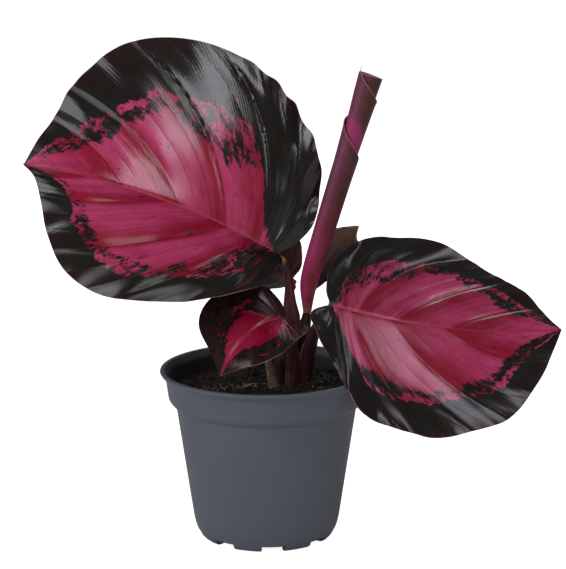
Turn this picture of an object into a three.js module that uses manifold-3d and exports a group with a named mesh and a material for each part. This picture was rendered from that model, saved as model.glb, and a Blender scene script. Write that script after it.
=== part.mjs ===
// A potted calathea: a young plant with two large leaves, a small front leaf, a rolled new leaf
// and two older leaves behind, standing in soil in a round nursery pot.
// Units are millimetres. The origin is the centre of the pot's base, on the surface that it
// stands on. +Z is up, +X is to the right as seen from the front, and the front faces -Y.

import * as THREE from 'three';
import Module from 'manifold-3d';
import { mergeVertices } from 'three/addons/utils/BufferGeometryUtils.js';

const wasm = await Module();
wasm.setup();

// ---------------------------------------------------------------- driving dimensions

const GAP = 0.35;                 // clearance between neighbouring pieces

const LIP_RADIUS = 60;            // pot: outer radius of the rolled lip
const POT_HEIGHT = 97;
const LIP_DEPTH = 4.6;            // the underside of the lip slopes in to the band
const BAND_TOP_RADIUS = 56.8;     // the straight band under the lip
const BAND_LOW_RADIUS = 55.2;
const BAND_LOW_Z = 80.4;
const CREASE_Z = 76;              // where the band rounds in to the tapering body
const BODY_TOP_RADIUS = 50.8;
const BODY_LOW_RADIUS = 41.4;
const BODY_LOW_Z = 12;
const WALL = 1.4;
const POT_SIDES = 48;
const FOOT_RADIUS = 38.6;         // the foot continues the rounded bottom of the wall
const FOOT_WIDTH = 7;
const FOOT_HEIGHT = 3.6;
const FOOT_NOTCHES = 8;
const NOTCH_WIDTH = 12.5;
const NOTCH_TURN = 6;             // degrees, turn of the notches from the front
const CENTRE_PAD_RADIUS = 7;
const FLOOR_TOP = 5;
const DRAIN_RADIUS = 3;
const DRAIN_CIRCLE = 23;
const DRAINS = 8;

const SOIL_TOP = 86;              // 11 mm under the lip
const SOIL_BUMP = 1.3;
const SOIL_HEART = [12, -3];      // the soil is heaped a little where the clump stands
const SOIL_HEAP = 2.8;
const SOIL_HEAP_REACH = 28;
const SOIL_FALL = 1.6;            // how much lower the soil lies along the wall
const SOIL_FALL_FROM = 38;        // radius where it starts to fall

const BLADE = 0.8;                // thickness of a leaf blade
const SPEAR_BLADE = 0.62;         // thickness of the rolled leaf's sheet

// Each blade is drawn flat first: x runs along the midrib from the leaf's base, and each half's
// margin is a list of [x, distance from the midrib]. It is then folded, curled and arched, and
// placed at its base by its heading, climb and roll, in degrees. Its grid has so many steps from
// base to tip, and so many from the midrib to a margin.
const LEFT_LEAF = {
  base: [6.3, 0, 162.9], heading: 191, climb: 32, roll: -49,
  length: 154, reach: 89, arch: 42, sweep: -4, grid: [30, 5],
  left: {
    fold: [40, -3], curl: 42, wave: 1.6, waves: 4, phase: 0.2,
    margin: [[-2, 9], [1, 25], [8, 44], [25, 60], [50, 71], [80, 74], [108, 62], [125, 42], [137, 20],
      [145, 7]],
  },
  right: {
    fold: [39, 28], curl: 0, wave: 2.6, waves: 7, phase: 0.55,
    margin: [[-7, 11], [-8, 28], [3, 52], [27, 75], [58, 89], [88, 88], [112, 77], [129, 57],
      [141, 30], [149, 12]],
  },
};

const RIGHT_LEAF = {
  base: [36.3, -5, 134.7], heading: 14, climb: -20, roll: 32,
  length: 135, reach: 70, arch: -26, sweep: 3, grid: [30, 5],
  left: {
    fold: [3, -5], curl: -8, wave: 1.2, waves: 4, phase: 0,
    margin: [[-3, 10], [0, 29], [12, 49], [33, 64], [60, 70], [84, 61], [104, 46], [120, 29], [130, 9]],
  },
  right: {
    fold: [-7, -9], curl: 17, wave: 1.8, waves: 6, phase: 0.45,
    margin: [[-12, 10], [-7, 27], [4, 39], [12, 54], [25, 65], [55, 71], [83, 65], [104, 54],
      [119, 34], [129, 14]],
  },
};

const FRONT_LEAF = {
  base: [10.2, -18, 129.6], heading: 230, climb: 13, roll: -12,
  length: 59, reach: 30, arch: 76, sweep: 4, grid: [20, 4],
  left: {
    fold: [-10, 3], curl: 0, wave: 0.5, waves: 3, phase: 0.1,
    margin: [[-8, 3], [-13, 5], [-11, 10], [0, 17], [15, 22.5], [31, 25.5], [42, 21], [50, 11]],
  },
  right: {
    fold: [33, 4], curl: 0, wave: 0.5, waves: 3, phase: 0.4,
    margin: [[-4, 5], [-4, 15], [8, 26], [26, 31], [41, 27], [50, 13]],
  },
};

const BACK_LEFT_LEAF = {
  base: [14.5, 17.5, 145], heading: 164, climb: 8, roll: 30,
  length: 104, reach: 46, arch: 22, sweep: 0, grid: [20, 4],
  left: {
    fold: [36, 18], curl: 10, wave: 1, waves: 4, phase: 0.3,
    margin: [[-5, 8], [-6, 19], [-3, 29], [14, 35], [38, 35], [62, 31], [84, 19], [97, 6]],
  },
  right: {
    fold: [-4, -4], curl: 10, wave: 1, waves: 4, phase: 0.6,
    margin: [[-2, 5], [2, 13], [11, 21], [23, 23], [36, 22], [46, 29], [56, 36], [68, 38], [81, 36],
      [92, 22], [98, 9]],
  },
};

const BACK_RIGHT_LEAF = {
  base: [25.1, 29.2, 134.1], heading: 35, climb: 54, roll: 89,
  length: 43.2, reach: 22, arch: 6, sweep: 0, grid: [18, 3],
  left: {
    fold: [6, 3], curl: 4, wave: 0.3, waves: 3, phase: 0.2,
    margin: [[-1, 2], [1.5, 5.5], [8, 10], [15, 12.6], [22.9, 14.4], [28.6, 14.8], [33.5, 12.6],
      [36.7, 8.9], [41, 3]],
  },
  right: {
    fold: [3, 2], curl: 4, wave: 0.2, waves: 3, phase: 0.7,
    margin: [
      [2, 1.4], [8, 3.9], [13, 6.2], [21, 10.3], [29.6, 15.1], [37, 17.6], [41.6, 16.4], [41, 14],
      [42.2, 11.4],
      [45.2, 9.8], [48.4, 9], [48.2, 7.4], [45.5, 3.4],
    ],
  },
};

// The rolled leaf: stations up its axis with the outer radius there.
const SPEAR_AXIS = [[22.8, 2, 128.5], [23.6, 2.3, 145.5], [34, 2.9, 182], [45, 3.6, 218.5], [58, 4.6, 262]];
const SPEAR_RADII = [2.6, 5.2, 6.3, 6.9, 7.4];
const SPEAR_TURNS = 1.6;
const SPEAR_START = 0;            // degrees, where the outer edge of the roll lies
const SPEAR_TWIST = 150;          // degrees that the outer edge winds round, clockwise, on its way up
const SPEAR_DIP = 1;              // how much lower the inner turns stand at the top

// Stalks: stations are [x, y, z, half width, half thickness, bend towards the clump's heart].
// The face is the outward heading of the clasping sheath, in degrees.
const STALK_FOOT = 70;            // the stalks stand on the crown at this height, in the soil
const STALKS = {
  left_petiole: {
    face: 243, leaf: LEFT_LEAF,
    stations: [
      [9, -3.5, STALK_FOOT, 3.4, 2.4, 0], [9, -3.5, 86, 4.6, 2.3, 0.6], [9.8, -4.2, 106, 6.4, 1.9, 1.8],
      [13, -3.8, 125, 5.8, 1.8, 1.8], [13, -2, 137, 3.6, 2.1, 0.4], [12.6, -0.8, 146, 2.4, 2.3, 0],
      [10.9, -0.3, 154.5, 2.3, 2.3, 0],
    ],
  },
  right_petiole: {
    face: 308, leaf: RIGHT_LEAF,
    stations: [
      [21.5, -3.5, STALK_FOOT, 3.2, 2.4, 0], [21.5, -3.5, 86, 4.2, 2.3, 0.6], [24, -4.4, 104, 5.6, 2, 1.6],
      [26.6, -5, 117, 4.4, 2, 0.8], [30.2, -5.4, 126.5, 2.4, 2.2, 0],
    ],
  },
  front_petiole: {
    face: 270, leaf: FRONT_LEAF,
    stations: [
      [14, -10.8, STALK_FOOT, 2.8, 2, 0], [14, -10.8, 86, 3.6, 1.9, 0.3], [15, -12, 102, 4, 1.6, 0.8],
      [14.6, -14, 114, 2.6, 1.6, 0.3], [13, -16.4, 123, 1.6, 1.5, 0],
    ],
  },
  back_left_petiole: {
    face: 127, leaf: BACK_LEFT_LEAF,
    stations: [
      [9.5, 7.5, STALK_FOOT, 3, 2.2, 0], [9.5, 7.5, 86, 3.6, 2.1, 0.4], [10.6, 9.4, 108, 4.6, 1.8, 1.2],
      [11.8, 12.4, 124, 3, 2, 0.4], [13.4, 16, 137, 2.2, 2.1, 0],
    ],
  },
  back_right_petiole: {
    face: 45, leaf: BACK_RIGHT_LEAF,
    stations: [
      [20.5, 8.5, STALK_FOOT, 2.8, 2.1, 0], [20.5, 8.5, 86, 3.4, 2, 0.3], [21.8, 11, 105, 4, 1.7, 1],
      [22.8, 18.5, 119, 2.4, 1.8, 0.3], [23.4, 25, 128, 1.9, 1.8, 0],
    ],
  },
  rolled_petiole: {
    face: 90, leaf: null,
    stations: [
      [15.4, 3, STALK_FOOT, 3.2, 3, 0], [15.4, 3, 86, 3.6, 3, 0], [18.2, 3, 106, 3.9, 3, 0],
      [22, 2.2, 123, 3.2, 2.6, 0], [22.8, 2, 128, 2.3, 2.3, 0],
    ],
  },
  dried_stub: {
    face: 250, leaf: null,
    stations: [
      [3.8, -9, 79, 2.8, 2, 0], [3.8, -9, 87, 3.1, 2.1, 0.3], [2.4, -9.6, 96, 2.7, 1.8, 0.5],
      [0.5, -10, 105, 2.1, 1.2, 0.4],
    ],
  },
};
const PULVINUS = 2.7;             // radius of the swollen joint under a large blade
const SECTION_SIDES = 10;
const STALK_STEPS = 14;

// The crown and its roots, hidden in the soil.
const CROWN_CENTRE = [15, -0.5];
const CROWN_PROFILE = [[8, 51], [12.6, 55], [14.2, 61], [13.6, 66], [12.4, STALK_FOOT - GAP]];
const ROOT_RADIUS = 1.3;
const ROOTS = 7;
const ROOT_REACH = 27;
const ROOT_FOOT = 14;

// ---------------------------------------------------------------- small helpers

const rad = THREE.MathUtils.degToRad;
const lerp = THREE.MathUtils.lerp;
const vec = ([x, y, z]) => new THREE.Vector3(x, y, z);

function geometryFrom(points, faces) {
  const geometry = new THREE.BufferGeometry();
  geometry.setAttribute('position', new THREE.Float32BufferAttribute(points.flatMap((p) => p.toArray()), 3));
  geometry.setIndex(faces.flat());
  geometry.computeVertexNormals();
  return geometry;
}

// A closed body from rings of equal length, each seen counter-clockwise from the next one's side.
function closedSweep(rings) {
  const sides = rings[0].length;
  const points = rings.flat();
  const faces = [];
  const at = (ring, side) => ring * sides + (side % sides);
  for (let ring = 0; ring + 1 < rings.length; ring += 1) {
    for (let side = 0; side < sides; side += 1) {
      faces.push([at(ring, side), at(ring, side + 1), at(ring + 1, side + 1)]);
      faces.push([at(ring, side), at(ring + 1, side + 1), at(ring + 1, side)]);
    }
  }
  const last = rings.length - 1;
  const centre = (ring) => ring.reduce((sum, p) => sum.add(p), new THREE.Vector3()).divideScalar(sides);
  points.push(centre(rings[0]), centre(rings[last]));
  for (let side = 0; side < sides; side += 1) {
    faces.push([points.length - 2, at(0, side + 1), at(0, side)]);
    faces.push([points.length - 1, at(last, side), at(last, side + 1)]);
  }
  return geometryFrom(points, faces);
}

function toManifold(geometry) {
  const bare = geometry.clone();
  bare.deleteAttribute('normal');
  bare.deleteAttribute('uv');
  const merged = mergeVertices(bare, 1e-4);
  return new wasm.Manifold(new wasm.Mesh({
    numProp: 3,
    vertProperties: new Float32Array(merged.attributes.position.array),
    triVerts: new Uint32Array(merged.index.array),
  }));
}

function fromManifold(body) {
  const mesh = body.getMesh();
  const geometry = new THREE.BufferGeometry();
  geometry.setAttribute('position', new THREE.Float32BufferAttribute(mesh.vertProperties, 3));
  geometry.setIndex(Array.from(mesh.triVerts));
  geometry.computeVertexNormals();
  return geometry;
}

// A closed body turned from [radius, height] points about the Z axis.
function turned(profile, segments) {
  const points = profile.map(([r, z]) => new THREE.Vector2(r, z));
  return new THREE.LatheGeometry(points, segments).rotateX(Math.PI / 2);
}

// ---------------------------------------------------------------- leaf blades

function bladeFrame(leaf) {
  const [heading, climb, roll] = [leaf.heading, leaf.climb, leaf.roll].map(rad);
  const along = new THREE.Vector3(
    Math.cos(climb) * Math.cos(heading), Math.cos(climb) * Math.sin(heading), Math.sin(climb));
  const levelSide = new THREE.Vector3(-Math.sin(heading), Math.cos(heading), 0);
  const levelFace = along.clone().cross(levelSide);
  const side = levelSide.multiplyScalar(Math.cos(roll)).addScaledVector(levelFace, Math.sin(roll));
  return { along, side, face: along.clone().cross(side) };
}

function marginCurve(leaf, half) {
  const points = [[0, 0], ...half.margin, [leaf.length, 0]];
  return new THREE.SplineCurve(points.map(([x, y]) => new THREE.Vector2(x, y)));
}

// Where a vein leaves the midrib, as a part of the leaf's length, for the vein that ends at part s
// of the margin.
const veinRoot = (s) => 0.25 * s + 0.75 * s ** 4.5;

// A point v of the way along the vein that ends at part s of the margin, in the flat leaf.
function veinPoint(leaf, margin, s, v) {
  const end = margin.getPointAt(s);
  const root = new THREE.Vector2(leaf.length * veinRoot(s), 0);
  const elbow = new THREE.Vector2(lerp(root.x, end.x, 0.35), 0.6 * end.y);
  return new THREE.QuadraticBezierCurve(root, elbow, end).getPoint(v);
}

// Folds, curls and arches a flat point and places it. lift is the height above the blade's middle.
function bent(leaf, frame, sign, x, y, lift) {
  const half = sign > 0 ? leaf.left : leaf.right;
  const part = THREE.MathUtils.clamp(x / leaf.length, 0, 1);
  const bend = rad(leaf.arch) / leaf.length;
  const angle = bend * Math.max(x, 0);
  const forward = x > 0 ? Math.sin(angle) / bend : x;
  const drop = x > 0 ? (1 - Math.cos(angle)) / bend : 0;
  const fold = rad(lerp(half.fold[0], half.fold[1], part));
  const curl = rad(half.curl || 0.01) / leaf.reach;
  const lean = fold - curl * y;
  const out = (Math.sin(fold) - Math.sin(lean)) / curl;
  const up = (Math.cos(lean) - Math.cos(fold)) / curl;
  const face = frame.face.clone().multiplyScalar(Math.cos(angle))
    .addScaledVector(frame.along, Math.sin(angle));
  return vec(leaf.base)
    .addScaledVector(frame.along, forward)
    .addScaledVector(frame.face, -drop)
    .addScaledVector(frame.side, leaf.sweep * part ** 2 + sign * (out - lift * Math.sin(lean)))
    .addScaledVector(face, up + lift * Math.cos(lean));
}

function bladeGeometry(leaf) {
  const frame = bladeFrame(leaf);
  const [veins, halfRows] = leaf.grid;
  const sheet = (offset) => {
    const columns = [];
    for (let i = 0; i <= veins; i += 1) {
      const s = i / veins;
      const fade = Math.min(1, 6 * s, 6 * (1 - s));
      const column = [];
      for (let j = -halfRows; j <= halfRows; j += 1) {
        const sign = j < 0 ? -1 : 1;
        const half = sign > 0 ? leaf.left : leaf.right;
        const v = Math.abs(j) / halfRows;
        const flat = veinPoint(leaf, half.curve, s, v);
        const wave = half.wave * fade * v * v * Math.sin(2 * Math.PI * (half.waves * s + half.phase));
        column.push(bent(leaf, frame, sign, flat.x, flat.y, wave + offset));
      }
      columns.push(column);
    }
    return columns;
  };
  leaf.left.curve = marginCurve(leaf, leaf.left);
  leaf.right.curve = marginCurve(leaf, leaf.right);
  const top = sheet(BLADE / 2);
  const bottom = sheet(-BLADE / 2);

  // The first and last columns shrink to the leaf's base and tip, one point on each face.
  const rows = 2 * halfRows + 1;
  const points = [];
  const number = (columns) => {
    const base = points.push(columns[0][halfRows]) - 1;
    const grid = columns.slice(1, -1).map((column) => column.map((p) => points.push(p) - 1));
    const tip = points.push(columns[columns.length - 1][halfRows]) - 1;
    return { base, grid, tip };
  };
  const upper = number(top);
  const lower = number(bottom);
  const faces = [];
  const add = (a, b, c, flip) => faces.push(flip ? [a, c, b] : [a, b, c]);
  for (const [skin, flip] of [[upper, false], [lower, true]]) {
    for (let j = 0; j + 1 < rows; j += 1) {
      add(skin.base, skin.grid[0][j], skin.grid[0][j + 1], flip);
      for (let i = 0; i + 1 < skin.grid.length; i += 1) {
        const [a, b] = [skin.grid[i][j], skin.grid[i][j + 1]];
        const [c, d] = [skin.grid[i + 1][j], skin.grid[i + 1][j + 1]];
        if (j < halfRows) {
          add(a, c, d, flip);
          add(a, d, b, flip);
        } else {
          add(a, c, b, flip);
          add(b, c, d, flip);
        }
      }
      add(skin.tip, skin.grid[skin.grid.length - 1][j + 1], skin.grid[skin.grid.length - 1][j], flip);
    }
  }
  for (const [row, flip] of [[0, false], [rows - 1, true]]) {
    const path = (skin) => [skin.base, ...skin.grid.map((column) => column[row]), skin.tip];
    const [high, low] = [path(upper), path(lower)];
    for (let i = 0; i + 1 < high.length; i += 1) {
      add(high[i], low[i], low[i + 1], flip);
      add(high[i], low[i + 1], high[i + 1], flip);
    }
  }
  return geometryFrom(points, faces);
}

// ---------------------------------------------------------------- stalks

function stalkStations(stalk) {
  const stations = stalk.stations.map((station) => [...station]);
  if (stalk.leaf) {
    // The swollen joint: it ends just under and behind the blade's base.
    const { along, face } = bladeFrame(stalk.leaf);
    const from = vec(stations[stations.length - 1]);
    const to = vec(stalk.leaf.base).addScaledVector(face, -1.7).addScaledVector(along, -0.6);
    const swell = PULVINUS * (stalk.leaf.length > 100 ? 1 : 0.72);
    stations.push([...from.clone().lerp(to, 0.55).toArray(), swell, swell, 0]);
    stations.push([...to.toArray(), 0.8, 0.8, 0]);
  }
  return stations;
}

// Rings of a stalk: an oval section, bent round the heart of the clump. grow widens it all round.
function stalkRings(stalk, grow) {
  const stations = stalkStations(stalk);
  const path = new THREE.CatmullRomCurve3(stations.map(vec));
  const across = new THREE.Vector3(-Math.sin(rad(stalk.face)), Math.cos(rad(stalk.face)), 0);
  const rings = [];
  for (let step = 0; step <= STALK_STEPS; step += 1) {
    const t = step / STALK_STEPS;
    const spot = t * (stations.length - 1);
    const low = Math.min(Math.floor(spot), stations.length - 2);
    const mix = (key) => lerp(stations[low][key], stations[low + 1][key], spot - low);
    const centre = path.getPoint(t);
    const tangent = path.getTangent(t);
    const wide = across.clone().addScaledVector(tangent, -across.dot(tangent)).normalize();
    const inward = tangent.clone().cross(wide).normalize();
    const ring = [];
    for (let side = 0; side < SECTION_SIDES; side += 1) {
      const turn = (2 * Math.PI * side) / SECTION_SIDES;
      const u = Math.cos(turn) * (mix(3) + grow);
      const w = Math.sin(turn) * (mix(4) + grow) + mix(5) * Math.cos(turn) ** 2;
      ring.push(centre.clone().addScaledVector(wide, u).addScaledVector(inward, w));
    }
    rings.push(ring);
  }
  return rings;
}

// ---------------------------------------------------------------- the rolled leaf

function spearGeometry() {
  const axis = new THREE.CatmullRomCurve3(SPEAR_AXIS.map(vec));
  const steps = 16;
  const turnSteps = 28;
  const rings = [];
  for (let step = 0; step <= steps; step += 1) {
    const t = step / steps;
    const spot = t * (SPEAR_RADII.length - 1);
    const low = Math.min(Math.floor(spot), SPEAR_RADII.length - 2);
    const radius = lerp(SPEAR_RADII[low], SPEAR_RADII[low + 1], spot - low);
    const centre = axis.getPoint(t);
    const tangent = axis.getTangent(t);
    const right = new THREE.Vector3(1, 0, 0).addScaledVector(tangent, -tangent.x).normalize();
    const back = tangent.clone().cross(right);
    const pitch = (radius - 0.12 * radius - 0.75) / SPEAR_TURNS;
    const place = (share, inset) => {
      const turn = rad(SPEAR_START - SPEAR_TWIST * t) - share * SPEAR_TURNS * 2 * Math.PI;
      const distance = radius - share * SPEAR_TURNS * pitch - inset;
      const drop = SPEAR_DIP * share * Math.max(0, t - 0.8) / 0.2;
      return centre.clone()
        .addScaledVector(right, distance * Math.cos(turn))
        .addScaledVector(back, distance * Math.sin(turn))
        .addScaledVector(tangent, -drop);
    };
    const shares = Array.from({ length: turnSteps + 1 }, (_, k) => k / turnSteps);
    const outer = shares.map((share) => place(share, 0));
    const inner = shares.map((share) => place(share, Math.min(SPEAR_BLADE, pitch - 0.22)));
    rings.push([...inner, ...outer.reverse()]);
  }
  return stripSweep(rings, turnSteps);
}

// A closed body from C-shaped rings: the ends are capped with quads between the two skins.
function stripSweep(rings, turnSteps) {
  const sides = rings[0].length;
  const faces = [];
  const at = (ring, side) => ring * sides + (side % sides);
  for (let ring = 0; ring + 1 < rings.length; ring += 1) {
    for (let side = 0; side < sides; side += 1) {
      faces.push([at(ring, side), at(ring, side + 1), at(ring + 1, side + 1)]);
      faces.push([at(ring, side), at(ring + 1, side + 1), at(ring + 1, side)]);
    }
  }
  const last = rings.length - 1;
  for (let k = 0; k < turnSteps; k += 1) {
    const mate = sides - 1 - k;
    faces.push([at(0, k), at(0, mate), at(0, k + 1)]);
    faces.push([at(0, k + 1), at(0, mate), at(0, mate - 1)]);
    faces.push([at(last, k), at(last, k + 1), at(last, mate)]);
    faces.push([at(last, k + 1), at(last, mate - 1), at(last, mate)]);
  }
  return geometryFrom(rings.flat(), faces);
}

// ---------------------------------------------------------------- pot, soil and roots

function potGeometry() {
  const outside = [
    [0, FOOT_HEIGHT], [FOOT_RADIUS, FOOT_HEIGHT], [39.6, 5.2], [40.6, 8.2], [BODY_LOW_RADIUS, BODY_LOW_Z],
    [BODY_TOP_RADIUS, CREASE_Z - 1], [51, CREASE_Z], [52.3, 77], [54, 78.6], [BAND_LOW_RADIUS, BAND_LOW_Z],
    [BAND_TOP_RADIUS, POT_HEIGHT - LIP_DEPTH - 0.6], [57.4, POT_HEIGHT - LIP_DEPTH + 0.4],
    [59, POT_HEIGHT - 2.8], [59.9, POT_HEIGHT - 1.7], [LIP_RADIUS, POT_HEIGHT - 0.9],
    [59.5, POT_HEIGHT - 0.2], [58.6, POT_HEIGHT], [57.7, POT_HEIGHT - 0.1], [57.1, POT_HEIGHT - 0.7],
  ];
  const inside = [
    [BAND_TOP_RADIUS - WALL, POT_HEIGHT - LIP_DEPTH - 1], [BAND_LOW_RADIUS - WALL, BAND_LOW_Z + 0.6],
    [52.9, 79.4], [51.4, 78.2], [49.8, 77.2], [BODY_TOP_RADIUS - WALL, CREASE_Z - 0.8],
    [39.4, 10], [38.8, 7.4], [37, 5.5], [35, FLOOR_TOP], [0, FLOOR_TOP],
  ];
  let pot = toManifold(turned([...outside, ...inside], POT_SIDES));
  const foot = turned([
    [FOOT_RADIUS - FOOT_WIDTH, 0], [34.8, 0], [36.6, 0.7], [37.8, 2], [FOOT_RADIUS, FOOT_HEIGHT],
    [FOOT_RADIUS - 0.1, FOOT_HEIGHT + 0.5], [FOOT_RADIUS - FOOT_WIDTH, FOOT_HEIGHT + 0.5],
    [FOOT_RADIUS - FOOT_WIDTH, 0]], POT_SIDES);
  let ring = toManifold(foot);
  for (let k = 0; k < FOOT_NOTCHES; k += 1) {
    const notch = new THREE.BoxGeometry(2 * FOOT_WIDTH + 2, NOTCH_WIDTH, 2 * FOOT_HEIGHT);
    notch.translate(FOOT_RADIUS - FOOT_WIDTH / 2, 0, 0);
    notch.rotateZ(rad(270 + NOTCH_TURN + (360 / FOOT_NOTCHES) * k));
    ring = ring.subtract(toManifold(notch));
  }
  const pad = new THREE.CylinderGeometry(CENTRE_PAD_RADIUS, CENTRE_PAD_RADIUS, FOOT_HEIGHT + 0.5, 16);
  pad.rotateX(Math.PI / 2).translate(0, 0, (FOOT_HEIGHT + 0.5) / 2);
  pot = pot.add(ring).add(toManifold(pad));
  for (let k = 0; k < DRAINS; k += 1) {
    const drain = new THREE.CylinderGeometry(DRAIN_RADIUS, DRAIN_RADIUS, 8, 10);
    const turn = rad((360 / DRAINS) * k);
    drain.rotateX(Math.PI / 2).translate(DRAIN_CIRCLE * Math.cos(turn), DRAIN_CIRCLE * Math.sin(turn), 3);
    pot = pot.subtract(toManifold(drain));
  }
  return fromManifold(pot);
}

// Height of the soil's surface, heaped round the clump, with low lumps.
function soilHeight(x, y) {
  const lumps = Math.sin(0.21 * x + 0.4) * Math.cos(0.17 * y) + 0.6 * Math.sin(0.43 * x - 0.37 * y + 1);
  const crumbs = 0.5 * Math.sin(0.9 * x + 1.7) * Math.sin(0.8 * y + 0.5);
  const away = Math.hypot(x - SOIL_HEART[0], y - SOIL_HEART[1]) / SOIL_HEAP_REACH;
  const heap = SOIL_HEAP * Math.exp(-(away ** 2));
  const fall = SOIL_FALL * THREE.MathUtils.smoothstep(Math.hypot(x, y), SOIL_FALL_FROM, BODY_TOP_RADIUS + 4);
  return SOIL_TOP + heap - fall + SOIL_BUMP * (lumps + crumbs) * 0.5;
}

function crownGeometry(grow) {
  const last = CROWN_PROFILE.length - 1;
  const profile = CROWN_PROFILE.map(([r, z], k) => [r + grow, z + (k === last ? grow : 0)]);
  const [bottom, top] = [profile[0][1] - 1.5 - grow, profile[profile.length - 1][1]];
  return turned([[0, bottom], ...profile, [0, top]], 24).translate(CROWN_CENTRE[0], CROWN_CENTRE[1], 0);
}

function rootGeometry(index, grow) {
  const turn = (2 * Math.PI * (index + 0.3)) / ROOTS;
  const [cx, cy] = CROWN_CENTRE;
  const toward = (reach, z, swing) => new THREE.Vector3(
    cx * (1 - reach / 40) + reach * Math.cos(turn + swing), cy + reach * Math.sin(turn + swing), z);
  const path = new THREE.CatmullRomCurve3([
    toward(6, 57, 0), toward(15, 47, 0.1), toward(ROOT_REACH - 4, 32, -0.1),
    toward(ROOT_REACH, ROOT_FOOT + 3 * (index % 3), 0.15)]);
  const section = new THREE.Shape();
  section.absarc(0, 0, ROOT_RADIUS + grow, 0, 2 * Math.PI, false);
  return new THREE.ExtrudeGeometry(section, {
    extrudePath: path, steps: 7, curveSegments: 3, bevelEnabled: false,
  });
}

function crownAndRoots(grow) {
  let body = toManifold(crownGeometry(grow));
  for (let k = 0; k < ROOTS; k += 1) {
    body = body.add(toManifold(rootGeometry(k, grow)));
  }
  return body;
}

function soilGeometry() {
  const sides = 36;
  const wall = [
    [34.3, FLOOR_TOP + GAP], [36.6, 5.9], [38.2, 7.7], [38.9, 10.2], [48.9, 75], [49.3, 77.3], [50.9, 78.4],
    [52.4, 79.7], [53.2, 81.4], [53.9, SOIL_TOP],
  ];
  const last = wall.length - 1;
  const rings = wall.map(([r, z], k) => circle(r, sides, (x, y) => (k === last ? soilHeight(x, y) : z)));
  for (const r of [48, 41, 34, 27, 20, 13, 6]) {
    rings.push(circle(r, sides, soilHeight));
  }
  let soil = toManifold(closedSweep(rings));
  soil = soil.subtract(crownAndRoots(GAP));
  for (const stalk of Object.values(STALKS)) {
    const rings = stalkRings(stalk, GAP);
    const foot = rings[0].map((p) => p.clone().setZ(p.z - (stalk === STALKS.dried_stub ? GAP : 2)));
    soil = soil.subtract(toManifold(closedSweep([foot, ...rings])));
  }
  return fromManifold(soil.simplify(0.05));
}

function circle(radius, sides, height) {
  return Array.from({ length: sides }, (_, k) => {
    const turn = (2 * Math.PI * k) / sides;
    const [x, y] = [radius * Math.cos(turn), radius * Math.sin(turn)];
    return new THREE.Vector3(x, y, height(x, y));
  });
}

// ---------------------------------------------------------------- materials and assembly

const finish = (color, roughness) => new THREE.MeshStandardMaterial({ color, roughness, metalness: 0 });
const MATERIALS = {
  pot: finish('#4f5359', 0.6),
  soil: finish('#1d150f', 1),
  leaf: finish('#7c2238', 0.35),
  oldLeaf: finish('#35191a', 0.5),
  spear: finish('#6d2c44', 0.4),
  stalk: finish('#3f1a1c', 0.5),
  dry: finish('#8a7355', 0.9),
  root: finish('#8f7a5a', 0.8),
};

const group = new THREE.Group();

function add(name, geometry, material) {
  const mesh = new THREE.Mesh(geometry, material);
  mesh.name = name;
  group.add(mesh);
}

add('pot', potGeometry(), MATERIALS.pot);
add('potting_soil', soilGeometry(), MATERIALS.soil);
add('rhizome_and_roots', fromManifold(crownAndRoots(0)), MATERIALS.root);
add('left_leaf', bladeGeometry(LEFT_LEAF), MATERIALS.leaf);
add('right_leaf', bladeGeometry(RIGHT_LEAF), MATERIALS.leaf);
add('front_leaf', bladeGeometry(FRONT_LEAF), MATERIALS.leaf);
add('back_left_leaf', bladeGeometry(BACK_LEFT_LEAF), MATERIALS.oldLeaf);
add('back_right_leaf', bladeGeometry(BACK_RIGHT_LEAF), MATERIALS.oldLeaf);
add('rolled_leaf', spearGeometry(), MATERIALS.spear);
for (const [name, stalk] of Object.entries(STALKS)) {
  add(name, closedSweep(stalkRings(stalk, 0)), name === 'dried_stub' ? MATERIALS.dry : MATERIALS.stalk);
}

export default group;
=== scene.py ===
"""Dresses the potted calathea: moulded pot, peaty soil, pleated and patterned leaves, sheathed stalks
and a rolled new leaf, with a pale studio floor, soft lights and a camera."""

import bisect
import math
import random

import bmesh
import bpy
from mathutils import Matrix, Vector, noise


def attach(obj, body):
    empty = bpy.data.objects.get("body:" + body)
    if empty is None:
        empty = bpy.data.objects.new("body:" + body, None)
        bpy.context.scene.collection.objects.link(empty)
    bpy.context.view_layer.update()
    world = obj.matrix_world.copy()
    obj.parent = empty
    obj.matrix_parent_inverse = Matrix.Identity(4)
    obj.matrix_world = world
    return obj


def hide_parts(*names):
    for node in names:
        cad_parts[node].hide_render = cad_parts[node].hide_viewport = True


bl_info = {
    "name": "Potted calathea",
    "version": (1, 0, 0),
    "blender": (4, 5, 0),
    "location": "View3D > Sidebar > Calathea",
    "description": "Makes a potted calathea from its pot, soil, leaves, stalks and rolled new leaf",
    "category": "Object",
}

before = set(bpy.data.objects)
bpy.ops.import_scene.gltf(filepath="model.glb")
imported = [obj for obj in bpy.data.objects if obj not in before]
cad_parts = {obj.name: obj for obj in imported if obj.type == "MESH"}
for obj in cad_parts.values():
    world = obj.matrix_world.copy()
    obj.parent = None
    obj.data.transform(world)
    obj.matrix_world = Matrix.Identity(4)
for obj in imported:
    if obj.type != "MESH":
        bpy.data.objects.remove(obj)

MM = 0.001

# ------------------------------------------------------------------ shapes, in millimetres and degrees

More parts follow.
